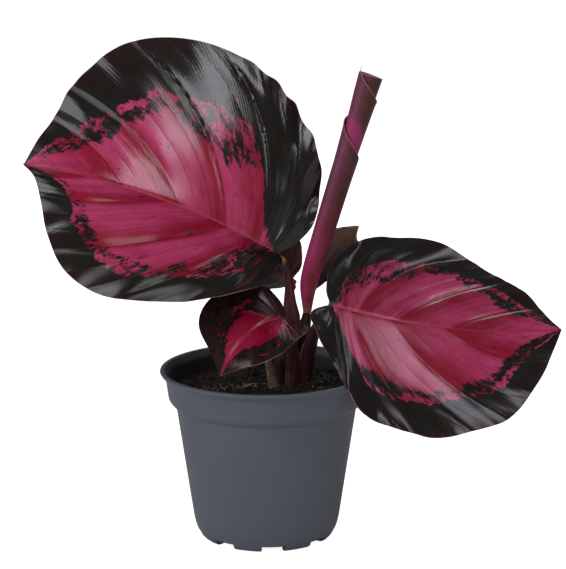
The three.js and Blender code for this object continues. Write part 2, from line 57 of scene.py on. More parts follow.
# A blade is drawn flat first: x runs along the midrib from the leaf's base, and each half's "margin" is
# a list of (x, distance from the midrib). "mesh" is the steps from base to tip and from midrib to margin.
# The midrib starts at "base" towards "heading" and "climb", and "roll" turns the blade about it. "arch"
# bends the whole blade down towards its tip, and "sweep" moves the tip towards the left half.
# Each half rises from the midrib by "fold", at the base and at the tip, and has bent down again by "curl"
# at the distance "reach". Its margin has so many "waves" of the height "wave", starting at "phase", and
# "calm" is how much of them is left. "folds" are the deep valleys between the broad folds: where each
# starts at the midrib and ends at the margin. "crowns" is how far each fold between them bulges, and
# "scallops" are the small lobes of the margin: where each is and how far it stands out. "ribs" is how
# many fine ribs a broad fold has, and "fold_depth" and "rib_depth" are how deep both are. "seed" picks a
# blade's own unevenness and flecks.
# The pink zone's solid heart ends at "core" and its outer ring of dashes at "ring", and "gap" is how
# much pink lies between them. "ring_strength" is how much of the ring is pink, "bloom" how much of the
# heart is rose, the lighter colour that is laid partly as painted light on the folds, and "dusk" how
# reddish the dark border is.
# Places are shares of the way round the margin from base to tip. In "folds", "ring", "core" and "gap"
# every number is in percent, and a "ring" or "core" lies so far from the midrib to the margin.
LEAVES = {
    "left_leaf": {
        "base": (6.3, 0, 162.9), "heading": 191, "climb": 32, "roll": -49, "length": 154, "reach": 89,
        "arch": 42, "sweep": -4, "mesh": (240, 50), "ribs": 3, "fold_depth": 1.4, "rib_depth": 0.12,
        "seed": 3, "ring_strength": 0.62, "bloom": 1, "dusk": 0,
        "left": {
            "fold": (40, -3), "curl": 42, "wave": 1.6, "waves": 4, "phase": 0.2,
            "folds": [(17, 30), (37, 52), (57, 74), (78, 90), (92, 96.5)],
            "margin": [(-2, 9), (1, 25), (8, 44), (25, 60), (50, 71), (80, 74), (108, 62), (125, 42),
                (137, 20), (145, 7)],
            "ring": [(0, 0), (20, 20), (25, 40), (29, 59), (38, 65), (45, 70), (52, 76), (60, 80), (67, 79),
                (74, 81), (79, 83), (85, 72), (90, 65), (100, 55)],
            "core": [(0, 0), (35, 5), (42, 24), (45, 42), (49, 53), (52, 63), (55, 69), (62, 72), (71, 75),
                (77, 74), (84, 64), (89, 62), (94, 50), (100, 30)],
            "gap": [(0, 10), (30, 25), (42, 45), (52, 60), (80, 55), (100, 50)]},
        "right": {
            "fold": (39, 28), "curl": 0, "wave": 2.6, "waves": 7, "phase": 0.55,
            "folds": [(13, 33), (31, 51), (59, 65), (75.5, 80.5), (87, 89)],
            "crowns": [0.8, 0.9, -0.25, 1.1, 0.8, 0.5],
            "calm": [(0, 1), (0.38, 1), (0.46, 0.25), (0.7, 0.25), (0.8, 0.7), (1, 1)],
            "scallops": [(0.21, 1.2), (0.275, 2.2), (0.337, 2.5), (0.388, 2.2), (0.44, 1.2)],
            "margin": [(-7, 11), (-8, 28), (3, 52), (27, 75), (58, 89), (88, 88), (112, 77), (129, 57),
                (141, 30), (149, 12)],
            "ring": [(0, 0), (15, 4), (33, 12), (38, 19), (41, 30), (44, 46), (47, 59), (53, 62), (60, 63),
                (64, 66), (68, 73), (72, 69), (79, 73), (85, 75), (90, 75), (94, 82), (100, 82)],
            "core": [(0, 0), (15, 4), (33, 11), (38, 16), (42, 36), (47, 40), (51, 37), (57, 32), (61, 36),
                (65, 48), (69, 62), (73, 60), (80, 60), (84, 59), (88, 55), (93, 57), (100, 70)],
            "gap": [(0, 50), (50, 50), (60, 48), (66, 42), (75, 36), (85, 36), (92, 42), (100, 50)]}},
    "right_leaf": {
        "base": (36.3, -5, 134.7), "heading": 14, "climb": -20, "roll": 32, "length": 135, "reach": 70,
        "arch": -26, "sweep": 3, "mesh": (220, 46), "ribs": 3, "fold_depth": 1.3, "rib_depth": 0.14,
        "seed": 11, "ring_strength": 0.6, "bloom": 1, "dusk": 0,
        "left": {
            "fold": (3, -5), "curl": -8, "wave": 1.2, "waves": 4, "phase": 0,
            "folds": [(20, 40), (43, 64), (68, 76), (83, 89)],
            "margin": [(-3, 10), (0, 29), (12, 49), (33, 64), (60, 70), (84, 61), (104, 46), (120, 29),
                (130, 9)],
            "ring": [(0, 2), (10, 6), (16, 24), (22, 40), (29, 52), (36, 56), (42, 60), (52, 65), (57, 70),
                (64, 78), (72, 83), (79, 85), (83, 85), (91, 89), (100, 90)],
            "core": [(0, 2), (10, 5), (20, 14), (36, 29), (49, 37), (57, 52), (61, 67), (66, 76), (71, 74),
                (75, 76), (81, 71), (85, 67), (91, 68), (95, 75), (100, 80)],
            "gap": [(0, 30), (20, 45), (35, 58), (50, 58), (62, 30), (75, 20), (90, 40), (100, 60)]},
        "right": {
            "fold": (-7, -9), "curl": 17, "wave": 1.8, "waves": 6, "phase": 0.45,
            "folds": [(12, 26), (34, 55), (64.5, 72), (81.5, 89.5)],
            "margin": [(-12, 10), (-7, 27), (4, 39), (12, 54), (25, 65), (55, 71), (83, 65), (104, 54),
                (119, 34), (129, 14)],
            "ring": [(0, 5), (15, 20), (24, 34), (29, 42), (35, 52), (39, 66), (45, 69), (52, 69), (60, 73),
                (69, 71), (74, 77), (78, 83), (82, 77), (88, 74), (96, 76), (100, 70)],
            "core": [(0, 10), (17, 33), (24, 46), (32, 53), (41, 49), (48, 52), (55, 57), (60, 63),
                (67, 65), (71, 65), (78, 70), (83, 64), (88, 56), (92, 54), (100, 40)],
            "gap": [(0, 20), (30, 30), (45, 20), (60, 35), (75, 25), (88, 20), (100, 50)]}},
    "front_leaf": {
        "base": (10.2, -18, 129.6), "heading": 230, "climb": 13, "roll": -12, "length": 59, "reach": 30,
        "arch": 76, "sweep": 4, "mesh": (130, 28), "ribs": 3, "fold_depth": 0.5, "rib_depth": 0.12,
        "seed": 23, "ring_strength": 0.48, "bloom": 0.3, "dusk": 0.6,
        "left": {
            "fold": (-10, 3), "curl": 0, "wave": 0.5, "waves": 3, "phase": 0.1,
            "folds": [(30, 45), (62, 72)],
            "margin": [(-8, 3), (-13, 5), (-11, 10), (0, 17), (15, 22.5), (31, 25.5), (42, 21), (50, 11)],
            "ring": [(0, 20), (30, 45), (46, 60), (60, 76), (73, 85), (84, 84), (100, 40)],
            "core": [(0, 10), (30, 25), (49, 40), (63, 50), (73, 54), (82, 52), (100, 20)],
            "gap": [(0, 20), (50, 20), (100, 30)]},
        "right": {
            "fold": (33, 4), "curl": 0, "wave": 0.5, "waves": 3, "phase": 0.4,
            "folds": [(30, 42), (60, 70)],
            "margin": [(-4, 5), (-4, 15), (8, 26), (26, 31), (41, 27), (50, 13)],
            "ring": [(0, 5), (30, 15), (36, 25), (39, 42), (48, 50), (58, 50), (69, 54), (74, 72), (88, 70),
                (100, 40)],
            "core": [(0, 0), (50, 6), (56, 12), (60, 30), (70, 44), (79, 52), (90, 48), (100, 30)],
            "gap": [(0, 20), (50, 22), (100, 30)]}},
    "back_left_leaf": {
        "base": (14.5, 17.5, 145), "heading": 164, "climb": 8, "roll": 30, "length": 104, "reach": 46,
        "arch": 22, "sweep": 0, "mesh": (160, 32), "ribs": 3, "fold_depth": 0.9, "rib_depth": 0.2,
        "seed": 31,
        "left": {
            "fold": (36, 18), "curl": 10, "wave": 1, "waves": 4, "phase": 0.3,
            "folds": [(20, 34), (45, 60), (72, 82)],
            "margin": [(-5, 8), (-6, 19), (-3, 29), (14, 35), (38, 35), (62, 31), (84, 19), (97, 6)]},
        "right": {
            "fold": (-4, -4), "curl": 10, "wave": 1, "waves": 4, "phase": 0.6,
            "folds": [(20, 34), (45, 60), (72, 82)],
            "margin": [(-2, 5), (2, 13), (11, 21), (23, 23), (36, 22), (46, 29), (56, 36), (68, 38),
                (81, 36), (92, 22), (98, 9)]}},
    "back_right_leaf": {
        "base": (25.1, 29.2, 134.1), "heading": 35, "climb": 54, "roll": 89, "length": 43.2, "reach": 22,
        "arch": 6, "sweep": 0, "mesh": (150, 24), "ribs": 3, "fold_depth": 0.45, "rib_depth": 0.15,
        "seed": 43,
        "left": {
            "fold": (6, 3), "curl": 4, "wave": 0.3, "waves": 3, "phase": 0.2,
            "folds": [(30, 45), (62, 74)],
            "margin": [(-1, 2), (1.5, 5.5), (8, 10), (15, 12.6), (22.9, 14.4), (28.6, 14.8), (33.5, 12.6),
                (36.7, 8.9), (41, 3)]},
        "right": {
            "fold": (3, 2), "curl": 4, "wave": 0.2, "waves": 3, "phase": 0.7,
            "folds": [(20, 30), (40, 50), (62, 66)],
            "margin": [(2, 1.4), (8, 3.9), (13, 6.2), (21, 10.3), (29.6, 15.1), (37, 17.6), (41.6, 16.4),
                (41, 14), (42.2, 11.4), (45.2, 9.8), (48.4, 9), (48.2, 7.4), (45.5, 3.4)]}},
}
PATTERNED = ("left_leaf", "right_leaf", "front_leaf")
MARGIN_STEPS = 400
ROW_SPACING = 1.35                # above 1, so that a blade's rows lie closer together at its midrib
BLADE_SKIN = 0.5                  # thickness of a blade between its ribs
THICKEST = 3                      # more than any blade's thickness, ribs and all
UPPER_SKIN = 0.3                  # how far the upper skin lies above the blade's middle
SWAY = 0.9                        # height of a blade's slow unevenness
UNDER_MIDRIB = 2.1                # how far the midrib stands out below, at the leaf's base
UNDER_VEIN = 0.2
MIDRIB_GROOVE = 0.3
LINE_SHARE = 0.07                 # half the width of a valley or vein, as a share of one space
VALLEY_DEPTH = 0.18               # as a share of the fold's depth
SCALLOP_SHARE = 0.018

# A stalk's stations: x, y, z, half width, half thickness, bend of its edges towards the clump's heart.
# "face" is the outward heading of its sheath, "sheath" the share of its length where the sheath ends,
# "leaf" the blade that it carries, "swell" the radius of its joint under the blade, and "joint" is
# whether that joint is in view.
STALKS = {
    "left_petiole": {
        "face": 243, "leaf": "left_leaf", "swell": 2.7, "sheath": 0.47, "joint": True,
        "stations": [(9, -3.5, 70, 3.4, 2.4, 0), (9, -3.5, 86, 4.6, 2.3, 0.6),
            (9.8, -4.2, 106, 6.4, 1.9, 1.8), (13, -3.8, 125, 5.8, 1.8, 1.8), (13, -2, 137, 3.6, 2.1, 0.4),
            (12.6, -0.8, 146, 2.4, 2.3, 0), (10.9, -0.3, 154.5, 2.3, 2.3, 0)]},
    "right_petiole": {
        "face": 308, "leaf": "right_leaf", "swell": 2.7, "sheath": 0.5, "joint": True,
        "stations": [(21.5, -3.5, 70, 3.2, 2.4, 0), (21.5, -3.5, 86, 4.2, 2.3, 0.6),
            (24, -4.4, 104, 5.6, 2, 1.6), (26.6, -5, 117, 4.4, 2, 0.8), (30.2, -5.4, 126.5, 2.4, 2.2, 0)]},
    "front_petiole": {
        "face": 270, "leaf": "front_leaf", "swell": 1.95, "sheath": 0.5, "joint": True,
        "stations": [(14, -10.8, 70, 2.8, 2, 0), (14, -10.8, 86, 3.6, 1.9, 0.3),
            (15, -12, 102, 4, 1.6, 0.8), (14.6, -14, 114, 2.6, 1.6, 0.3), (13, -16.4, 123, 1.6, 1.5, 0)]},
    "back_left_petiole": {
        "face": 127, "leaf": "back_left_leaf", "swell": 2.7, "sheath": 0.5, "joint": False,
        "stations": [(9.5, 7.5, 70, 3, 2.2, 0), (9.5, 7.5, 86, 3.6, 2.1, 0.4),
            (10.6, 9.4, 108, 4.6, 1.8, 1.2), (11.8, 12.4, 124, 3, 2, 0.4), (13.4, 16, 137, 2.2, 2.1, 0)]},
    "back_right_petiole": {
        "face": 45, "leaf": "back_right_leaf", "swell": 1.95, "sheath": 0.5, "joint": False,
        "stations": [(20.5, 8.5, 70, 2.8, 2.1, 0), (20.5, 8.5, 86, 3.4, 2, 0.3), (21.8, 11, 105, 4, 1.7, 1),
            (22.8, 18.5, 119, 2.4, 1.8, 0.3), (23.4, 25, 128, 1.9, 1.8, 0)]},
    "rolled_petiole": {
        "face": 90, "leaf": None, "swell": 0, "sheath": 0.6, "joint": False,
        "stations": [(15.4, 3, 70, 3.2, 3, 0), (15.4, 3, 86, 3.6, 3, 0), (18.2, 3, 106, 3.9, 3, 0),
            (22, 2.2, 123, 3.2, 2.6, 0), (22.8, 2, 128, 2.3, 2.3, 0)]},
    "dried_stub": {
        "face": 250, "leaf": None, "swell": 0, "sheath": 1, "joint": False,
        "stations": [(3.8, -9, 79, 2.8, 2, 0), (3.8, -9, 87, 3.1, 2.1, 0.3), (2.4, -9.6, 96, 2.7, 1.8, 0.5),
            (0.5, -10, 105, 2.1, 1.2, 0.4)]},
}
STALK_MESH = (32, 90)
JOINT_BELOW = 1.7                 # how far under the blade's base a stalk ends
JOINT_BEHIND = 0.6
JOINT_PLACE = 0.55                # where the joint swells most, as a share of the last stretch
JOINT_TIP = 0.8                   # radius of a stalk's very end
STALK_RIBS = 15
STALK_RIB = 0.012                 # as a share of the stalk's width; on the sheath it is twice as much
SHEATH_THIN = 0.45                # how much thinner a sheath is at its edges
STALK_WOBBLE = 0.25

# The rolled leaf: stations up its axis, the outer radius there, and the heading of the roll's free edge
# at shares of its height. The thread is the steps of its dry tip.
SPEAR_AXIS = [(22.8, 2, 128.5), (23.6, 2.3, 145.5), (34, 2.9, 182), (45, 3.6, 218.5), (58, 4.6, 262)]
SPEAR_RADII = [(0, 2.6), (0.25, 5.2), (0.5, 6.3), (0.75, 6.9), (1, 7.4)]
SPEAR_EDGE = [(0, -24), (0.3, -10), (0.5, 2), (0.62, 12), (0.7, 8), (0.74, -10), (0.84, -172), (0.92, -350),
              (0.94, -405), (0.985, -482), (1, -500)]
SPEAR_TURNS = 2.6
SPEAR_SHEET = 0.5
SPEAR_PITCH = 1.22                # from one turn of the sheet to the next
SPEAR_HEART = 0.3                 # radius left free in the middle of the roll
SPEAR_SLACK = 0.3                 # how far the free edge stands off the roll
SPEAR_MESH = (150, 280)
SPEAR_SPACING = 1.1               # above 1, so that its columns lie closer together at the free edge
SPEAR_THREAD = ((0, 0, -2.5), (-0.3, 0, 0), (-0.5, 0, 1.6), (0.1, 0, 3.2), (-0.3, 0, 4))
THREAD_RADIUS = 0.28
THREAD_TIP = 0.3                  # as a share of that radius

# The pot: (radius, height) of its wall, first outside from the base to the lip and then inside down.
POT_OUTSIDE = [(0, 3.6), (38.6, 3.6), (39.6, 5.2), (40.6, 8.2), (41.4, 12), (50.8, 75), (51, 76),
               (52.3, 77), (54, 78.6), (55.2, 80.4), (56.8, 91.8), (57.4, 92.8), (59, 94.2),
               (59.9, 95.3), (60, 96.1), (59.5, 96.8), (58.6, 97), (57.7, 96.9), (57.1, 96.3)]
POT_INSIDE = [(55.4, 91.4), (53.8, 81), (52.9, 79.4), (51.4, 78.2), (49.8, 77.2), (49.4, 75.2), (39.4, 10),
              (38.8, 7.4), (37, 5.5), (35, 5), (0, 5)]
OUTER_ROUNDING = 1.1
INNER_ROUNDING = 0.9
INSIDE_TOP = 96                   # painted shade on the inside of the pot, nearly black and mottled, starts below this height
POT_SIDES = 144
FOOT_SECTION = [(31.6, 3.9), (31.6, 0.4), (32, 0), (34.8, 0), (36.6, 0.7), (37.8, 2), (38.6, 3.6),
                (38.6, 3.9)]
FOOT_NOTCHES = 8
FOOT_NOTCH_WIDTH = 12.5
FOOT_NOTCH_TURN = 6
FOOT_MIDDLE = 34                  # the radius where a notch has its full width
FOOT_STEPS = 16                   # along each arc of the foot
FOOT_PAD_RADIUS = 7
FOOT_PAD_HEIGHT = 3.9
FOOT_PAD_SIDES = 48
DRAINS = 8
DRAIN_RADIUS = 3
DRAIN_CIRCLE = 23
DRAIN_SIDES = 24
DRILL_LENGTH = 12
DRILL_MIDDLE = 3

# The soil: its wall inside the pot, from the base up, and its top.
SOIL_WALL = [(34.3, 5.35), (36.6, 5.9), (38.2, 7.7), (38.9, 10.2), (48.9, 75), (49.3, 77.3), (50.9, 78.4),
             (52.4, 79.7), (53.2, 81.4), (53.8, 83)]
SOIL_TOP = 86
SOIL_REACH = 54.1                 # radius of its top at the pot's wall
SOIL_HEART = (12, -3)             # where the clump stands and the soil is heaped a little
SOIL_HEAP = 2.8
SOIL_HEAP_REACH = 28
SOIL_FALL = 1.6                   # how much lower the soil lies along the wall
SOIL_FALL_RADII = (38, 54.3)
SOIL_ROUGHNESS = ((1.5, 0.11), (1.1, 0.27), (0.8, 0.6), (0.5, 1.3))     # height and scale of its lumps
SOIL_MESH = (220, 130)            # steps round it, and from its edge to its middle
CRUMB_REACH = 51.5
CRUMB_LEAST = 0.35                # the smallest crumb's radius, and how much more the largest may have
CRUMB_MORE = 1.5
FIBRE_REACH = 50
FIBRE_LIFT = 0.5
FIBRE_LENGTHS = (1.5, 7)
FIBRE_RADII = (0.09, 0.26)
FIBRE_TIP = 0.6                   # as a share of a fibre's radius
GRAINS = 150                      # pale bits of bark gathered in front of the clump
GRAIN_LENGTHS = (0.5, 2.2)
GRAIN_RADII = (0.2, 0.45)
GRAINS_ACROSS = (-44, 27)
GRAINS_ROW = (-6, 3.5)            # the middle of their row in y, and its spread


# ------------------------------------------------------------------ curves

def mix(a, b, t):
    """The value a share t of the way from a to b."""
    return a + (b - a) * t


def smooth(low, high, x):
    """0 below low, 1 above high, with a soft step between them."""
    t = min(1, max(0, (x - low) / (high - low)))
    return t * t * (3 - 2 * t)


def hump(x, width):
    """1 where x is 0, falling softly to nothing on both sides."""
    return math.exp(-(x / width) ** 2)


def shares(stops):
    """Pairs of percentages as pairs of shares."""
    return [(place / 100, value / 100) for place, value in stops]


def along_stops(stops, x):
    """The value at x on straight lines between (place, value) stops."""
    for (x0, y0), (x1, y1) in zip(stops, stops[1:]):
        if x <= x1:
            return mix(y0, y1, (x - x0) / (x1 - x0))
    return stops[-1][1]


def even_spline(points, t):
    """A point on the evenly timed Catmull-Rom curve through points, t from 0 to 1."""
    spans = len(points) - 1
    i = min(int(t * spans), spans - 1)
    w = t * spans - i
    p0, p1, p2, p3 = (points[min(max(i + k, 0), spans)] for k in (-1, 0, 1, 2))
    v0 = (p2 - p0) * 0.5
    v1 = (p3 - p1) * 0.5
    return (2 * p1 - 2 * p2 + v0 + v1) * w ** 3 + (3 * p2 - 3 * p1 - 2 * v0 - v1) * w ** 2 + v0 * w + p1


def path_point(points, t):
    """A point on the centripetal Catmull-Rom path through points, t from 0 to 1."""
    spans = len(points) - 1
    i = min(int(t * spans), spans - 1)
    w = t * spans - i
    p1, p2 = points[i], points[i + 1]
    p0 = points[i - 1] if i else 2 * p1 - p2
    p3 = points[i + 2] if i + 2 <= spans else 2 * p2 - p1
    d0, d1, d2 = (math.sqrt((b - a).length) for a, b in ((p0, p1), (p1, p2), (p2, p3)))
    t1 = ((p1 - p0) / d0 - (p2 - p0) / (d0 + d1) + (p2 - p1) / d1) * d1
    t2 = ((p2 - p1) / d1 - (p3 - p1) / (d1 + d2) + (p3 - p2) / d2) * d1
    return p1 + t1 * w + (3 * (p2 - p1) - 2 * t1 - t2) * w ** 2 + (2 * (p1 - p2) + t1 + t2) * w ** 3


def path_tangent(points, t):
    """The direction of that path at t."""
    step = 0.001
    return (path_point(points, min(1, t + step)) - path_point(points, max(0, t - step))).normalized()


def rounded(points, radius, steps=4):
    """The open line through points with each inner corner rounded off."""
    line = [points[0]]
    for before, corner, after in zip(points, points[1:], points[2:]):
        a, b, c = (Vector(p) for p in (before, corner, after))
        start, end = (b + (p - b).normalized() * min(radius, 0.45 * (p - b).length) for p in (a, c))
        for k in range(steps + 1):
            t = k / steps
            line.append(tuple(start * (1 - t) ** 2 + b * 2 * t * (1 - t) + end * t ** 2))
    return line + [points[-1]]


# ------------------------------------------------------------------ mesh helpers

def linked(name, data):
    """A new object in the scene."""
    obj = bpy.data.objects.new(name, data)
    bpy.context.scene.collection.objects.link(obj)
    return obj


def mesh_from(bm, name):
    """Turns a bmesh into a mesh."""
    mesh = bpy.data.meshes.new(name)
    bm.to_mesh(mesh)
    bm.free()
    return mesh


def new_object(bm, name, materials, replaced=()):
    """Makes a piece of the plant from a bmesh, shaded smooth, that rides on the plant."""
    for face in bm.faces:
        face.smooth = True
    obj = linked(name, mesh_from(bm, name))
    for material in materials:
        obj.data.materials.append(material)
    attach(obj, "root")
    if replaced:
        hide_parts(*replaced)
    return obj


def apply_modifiers(obj):
    """Turns a piece's modifiers into its mesh, and creases it where its material changes."""
    graph = bpy.context.evaluated_depsgraph_get()
    mesh = bpy.data.meshes.new_from_object(
        obj.evaluated_get(graph), preserve_all_data_layers=True, depsgraph=graph)
    obj.modifiers.clear()
    obj.data = mesh
    bm = bmesh.new()
    bm.from_mesh(mesh)
    for edge in bm.edges:
        if len({face.material_index for face in edge.link_faces}) > 1:
            edge.smooth = False
    bm.to_mesh(mesh)
    bm.free()


def thicken(obj, thickness, group=""):
    """Gives a sheet its thickness, with the second material below it and the third round its rim."""
    solid = obj.modifiers.new("thickness", "SOLIDIFY")
    solid.thickness = thickness * MM
    solid.offset = -1
    solid.vertex_group = group
    solid.material_offset = 1
    solid.material_offset_rim = 2
    apply_modifiers(obj)


def grid_mesh(columns, rows, *keys):
    """A flat grid from -1 to 1 both ways, and a layer of numbers for each key."""
    bm = bmesh.new()
    layers = [bm.verts.layers.float.new(key) for key in keys]
    bmesh.ops.create_grid(bm, x_segments=columns, y_segments=rows, size=1)
    return bm, layers


def paint(vert, layers, *values):
    """Writes one number into each layer of a vertex."""
    for layer, value in zip(layers, values):
        vert[layer] = value


def weld(bm):
    """Joins a mesh's seams and poles."""
    bmesh.ops.remove_doubles(bm, verts=bm.verts, dist=1e-6)


def face_outward(bm):
    bmesh.ops.recalc_face_normals(bm, faces=bm.faces)


def spin(bm, parts, angle, steps, merged):
    """Turns parts about the Z axis, merged where a full turn closes."""
    bmesh.ops.spin(bm, geom=parts, cent=(0, 0, 0), axis=(0, 0, 1), dvec=(0, 0, 0), angle=angle,
                   steps=steps, use_merge=merged, use_normal_flip=False, use_duplicate=False)


def add_cylinder(bm, place, radius, length, sides):
    """Adds an upright cylinder round its middle."""
    bmesh.ops.create_cone(bm, cap_ends=True, segments=sides, radius1=radius * MM, radius2=radius * MM,
                          depth=length * MM, matrix=Matrix.Translation([value * MM for value in place]))


def add_rod(bm, sides, tip_radius, cuts):
    """Adds a rod from -1 to 1 along Z, cut across so that it can bend, and gives its vertices."""
    first_vert, first_edge = len(bm.verts), len(bm.edges)
    bmesh.ops.create_cone(bm, cap_ends=True, segments=sides, radius1=1, radius2=tip_radius, depth=2)
    bm.edges.ensure_lookup_table()
    upright = [edge for edge in bm.edges[first_edge:] if abs(edge.verts[0].co.z - edge.verts[1].co.z) > 1]
    bmesh.ops.subdivide_edges(bm, edges=upright, cuts=cuts)
    bm.verts.ensure_lookup_table()
    return bm.verts[first_vert:]


def drill(obj, places):
    """Cuts the drain holes through the base of a piece at (x, y) places."""
    bm = bmesh.new()
    for place in places:
        add_cylinder(bm, (*place, DRILL_MIDDLE), DRAIN_RADIUS, DRILL_LENGTH, DRAIN_SIDES)
    cutter = linked("drill", mesh_from(bm, "drill"))
    cut = obj.modifiers.new("drains", "BOOLEAN")
    cut.object = cutter
    cut.operation = "DIFFERENCE"
    bpy.context.view_layer.update()
    apply_modifiers(obj)
    bpy.data.objects.remove(cutter)


# ------------------------------------------------------------------ shader helpers

class Value:
    """A number or colour that varies over a surface. Sums and products of it add Math nodes."""

    def __init__(self, shader, socket):
        self.shader = shader
        self.socket = socket

    def math(self, operation, *others, clamp=False):
        sockets = dict(enumerate((self, *others)))
        return self.shader.node("Math", sockets, operation=operation, use_clamp=clamp)

    def __add__(self, other):
        return self.math("ADD", other)

    def __sub__(self, other):
        return self.math("SUBTRACT", other)

    def __rsub__(self, other):
        return self.math("MULTIPLY", -1).math("ADD", other)

    def __mul__(self, other):
        return self.math("MULTIPLY", other)

    def __gt__(self, other):
        return self.math("GREATER_THAN", other)

    def clip(self):
        return self.math("ADD", 0, clamp=True)


class Shader:
    """One material or world being built from nodes. A noise's place may be a list of its parts."""

    def __init__(self, owner):
        owner.use_nodes = True
        self.owner = owner
        self.tree = owner.node_tree
        self.tree.nodes.clear()

    def node(self, kind, sockets=None, output=0, **settings):
        """Adds a node: its settings first, then its sockets' values or links. Gives one output."""
        node = self.tree.nodes.new("ShaderNode" + kind)
        for key, value in settings.items():
            setattr(node, key, value)
        for key, value in (sockets or {}).items():
            if isinstance(value, Value):
                self.tree.links.new(value.socket, node.inputs[key])
            else:
                node.inputs[key].default_value = value
        return Value(self, node.outputs[output]) if node.outputs else node

    def attributes(self, *names):
        """The numbers that a mesh carries under these names."""
        return [self.node("Attribute", output="Fac", attribute_name=name) for name in names]

    def object_place(self):
        return self.node("TexCoord", output="Object")

    def part(self, vector, axis):
        return self.node("SeparateXYZ", {0: vector}, axis)

    def vector(self, *parts):
        return self.node("CombineXYZ", dict(enumerate(parts)))

    def noise(self, place, scale=1, detail=2, rough=0.5):
        if not isinstance(place, Value):
            place = self.vector(*place)
        sockets = {"Vector": place, "Scale": scale, "Detail": detail, "Roughness": rough}
        return self.node("TexNoise", sockets, "Fac")

    def streaks(self, across, along, detail, rough):
        """Noise drawn out along Z, with its scales across and along."""
        x, y, z = (self.part(self.object_place(), axis) for axis in range(3))
        return self.noise((x * across, y * across, z * along), 1, detail, rough)

    def cells(self, place, scale):
        """A random number for each cell of a scatter of cells."""
        return self.part(self.node("TexVoronoi", {"Vector": place, "Scale": scale}, "Color"), 0)

    def ramp(self, value, stops):
        """Follows a value along stops of (place, number or colour)."""
        result = self.node("ValToRGB", {0: value}, "Color")
        elements = result.socket.node.color_ramp.elements
        while len(elements) < len(stops):
            elements.new(1)
        for element, (place, stop) in zip(elements, stops):
            element.position = place
            element.color = (stop, stop, stop, 1) if isinstance(stop, (int, float)) else (*stop, 1)
        return result

    def slope(self, value, start, end, low=0, high=1):
        """Goes from low to high as a value goes from start to end."""
        return self.ramp(value, [(start, low), (end, high)])

    @staticmethod
    def colour(value):
        return value if isinstance(value, Value) else (*value, 1)

    def mix(self, share, low, high, blend="MIX"):
        sockets = {0: share, 6: self.colour(low), 7: self.colour(high)}
        return self.node("Mix", sockets, 2, data_type="RGBA", blend_type=blend)

    def multiply(self, colour, grey):
        return self.mix(1, colour, grey, "MULTIPLY")

    def surface(self, colour, rough, height=None, strength=0, depth=0, specular=0.5):
        """Ends a material: its colour, roughness and shine, and bumps as deep as depth."""
        sockets = {"Base Color": colour, "Roughness": rough, "Specular IOR Level": specular}
        if height is not None:
            relief = {"Strength": strength, "Distance": depth * MM, "Height": height}
            sockets["Normal"] = self.node("Bump", relief)
        shader = self.node("BsdfPrincipled", sockets)
        self.node("OutputMaterial", {0: shader})
        return self.owner


def new_shader(name):
    return Shader(bpy.data.materials.new(name))


# ------------------------------------------------------------------ leaf blades

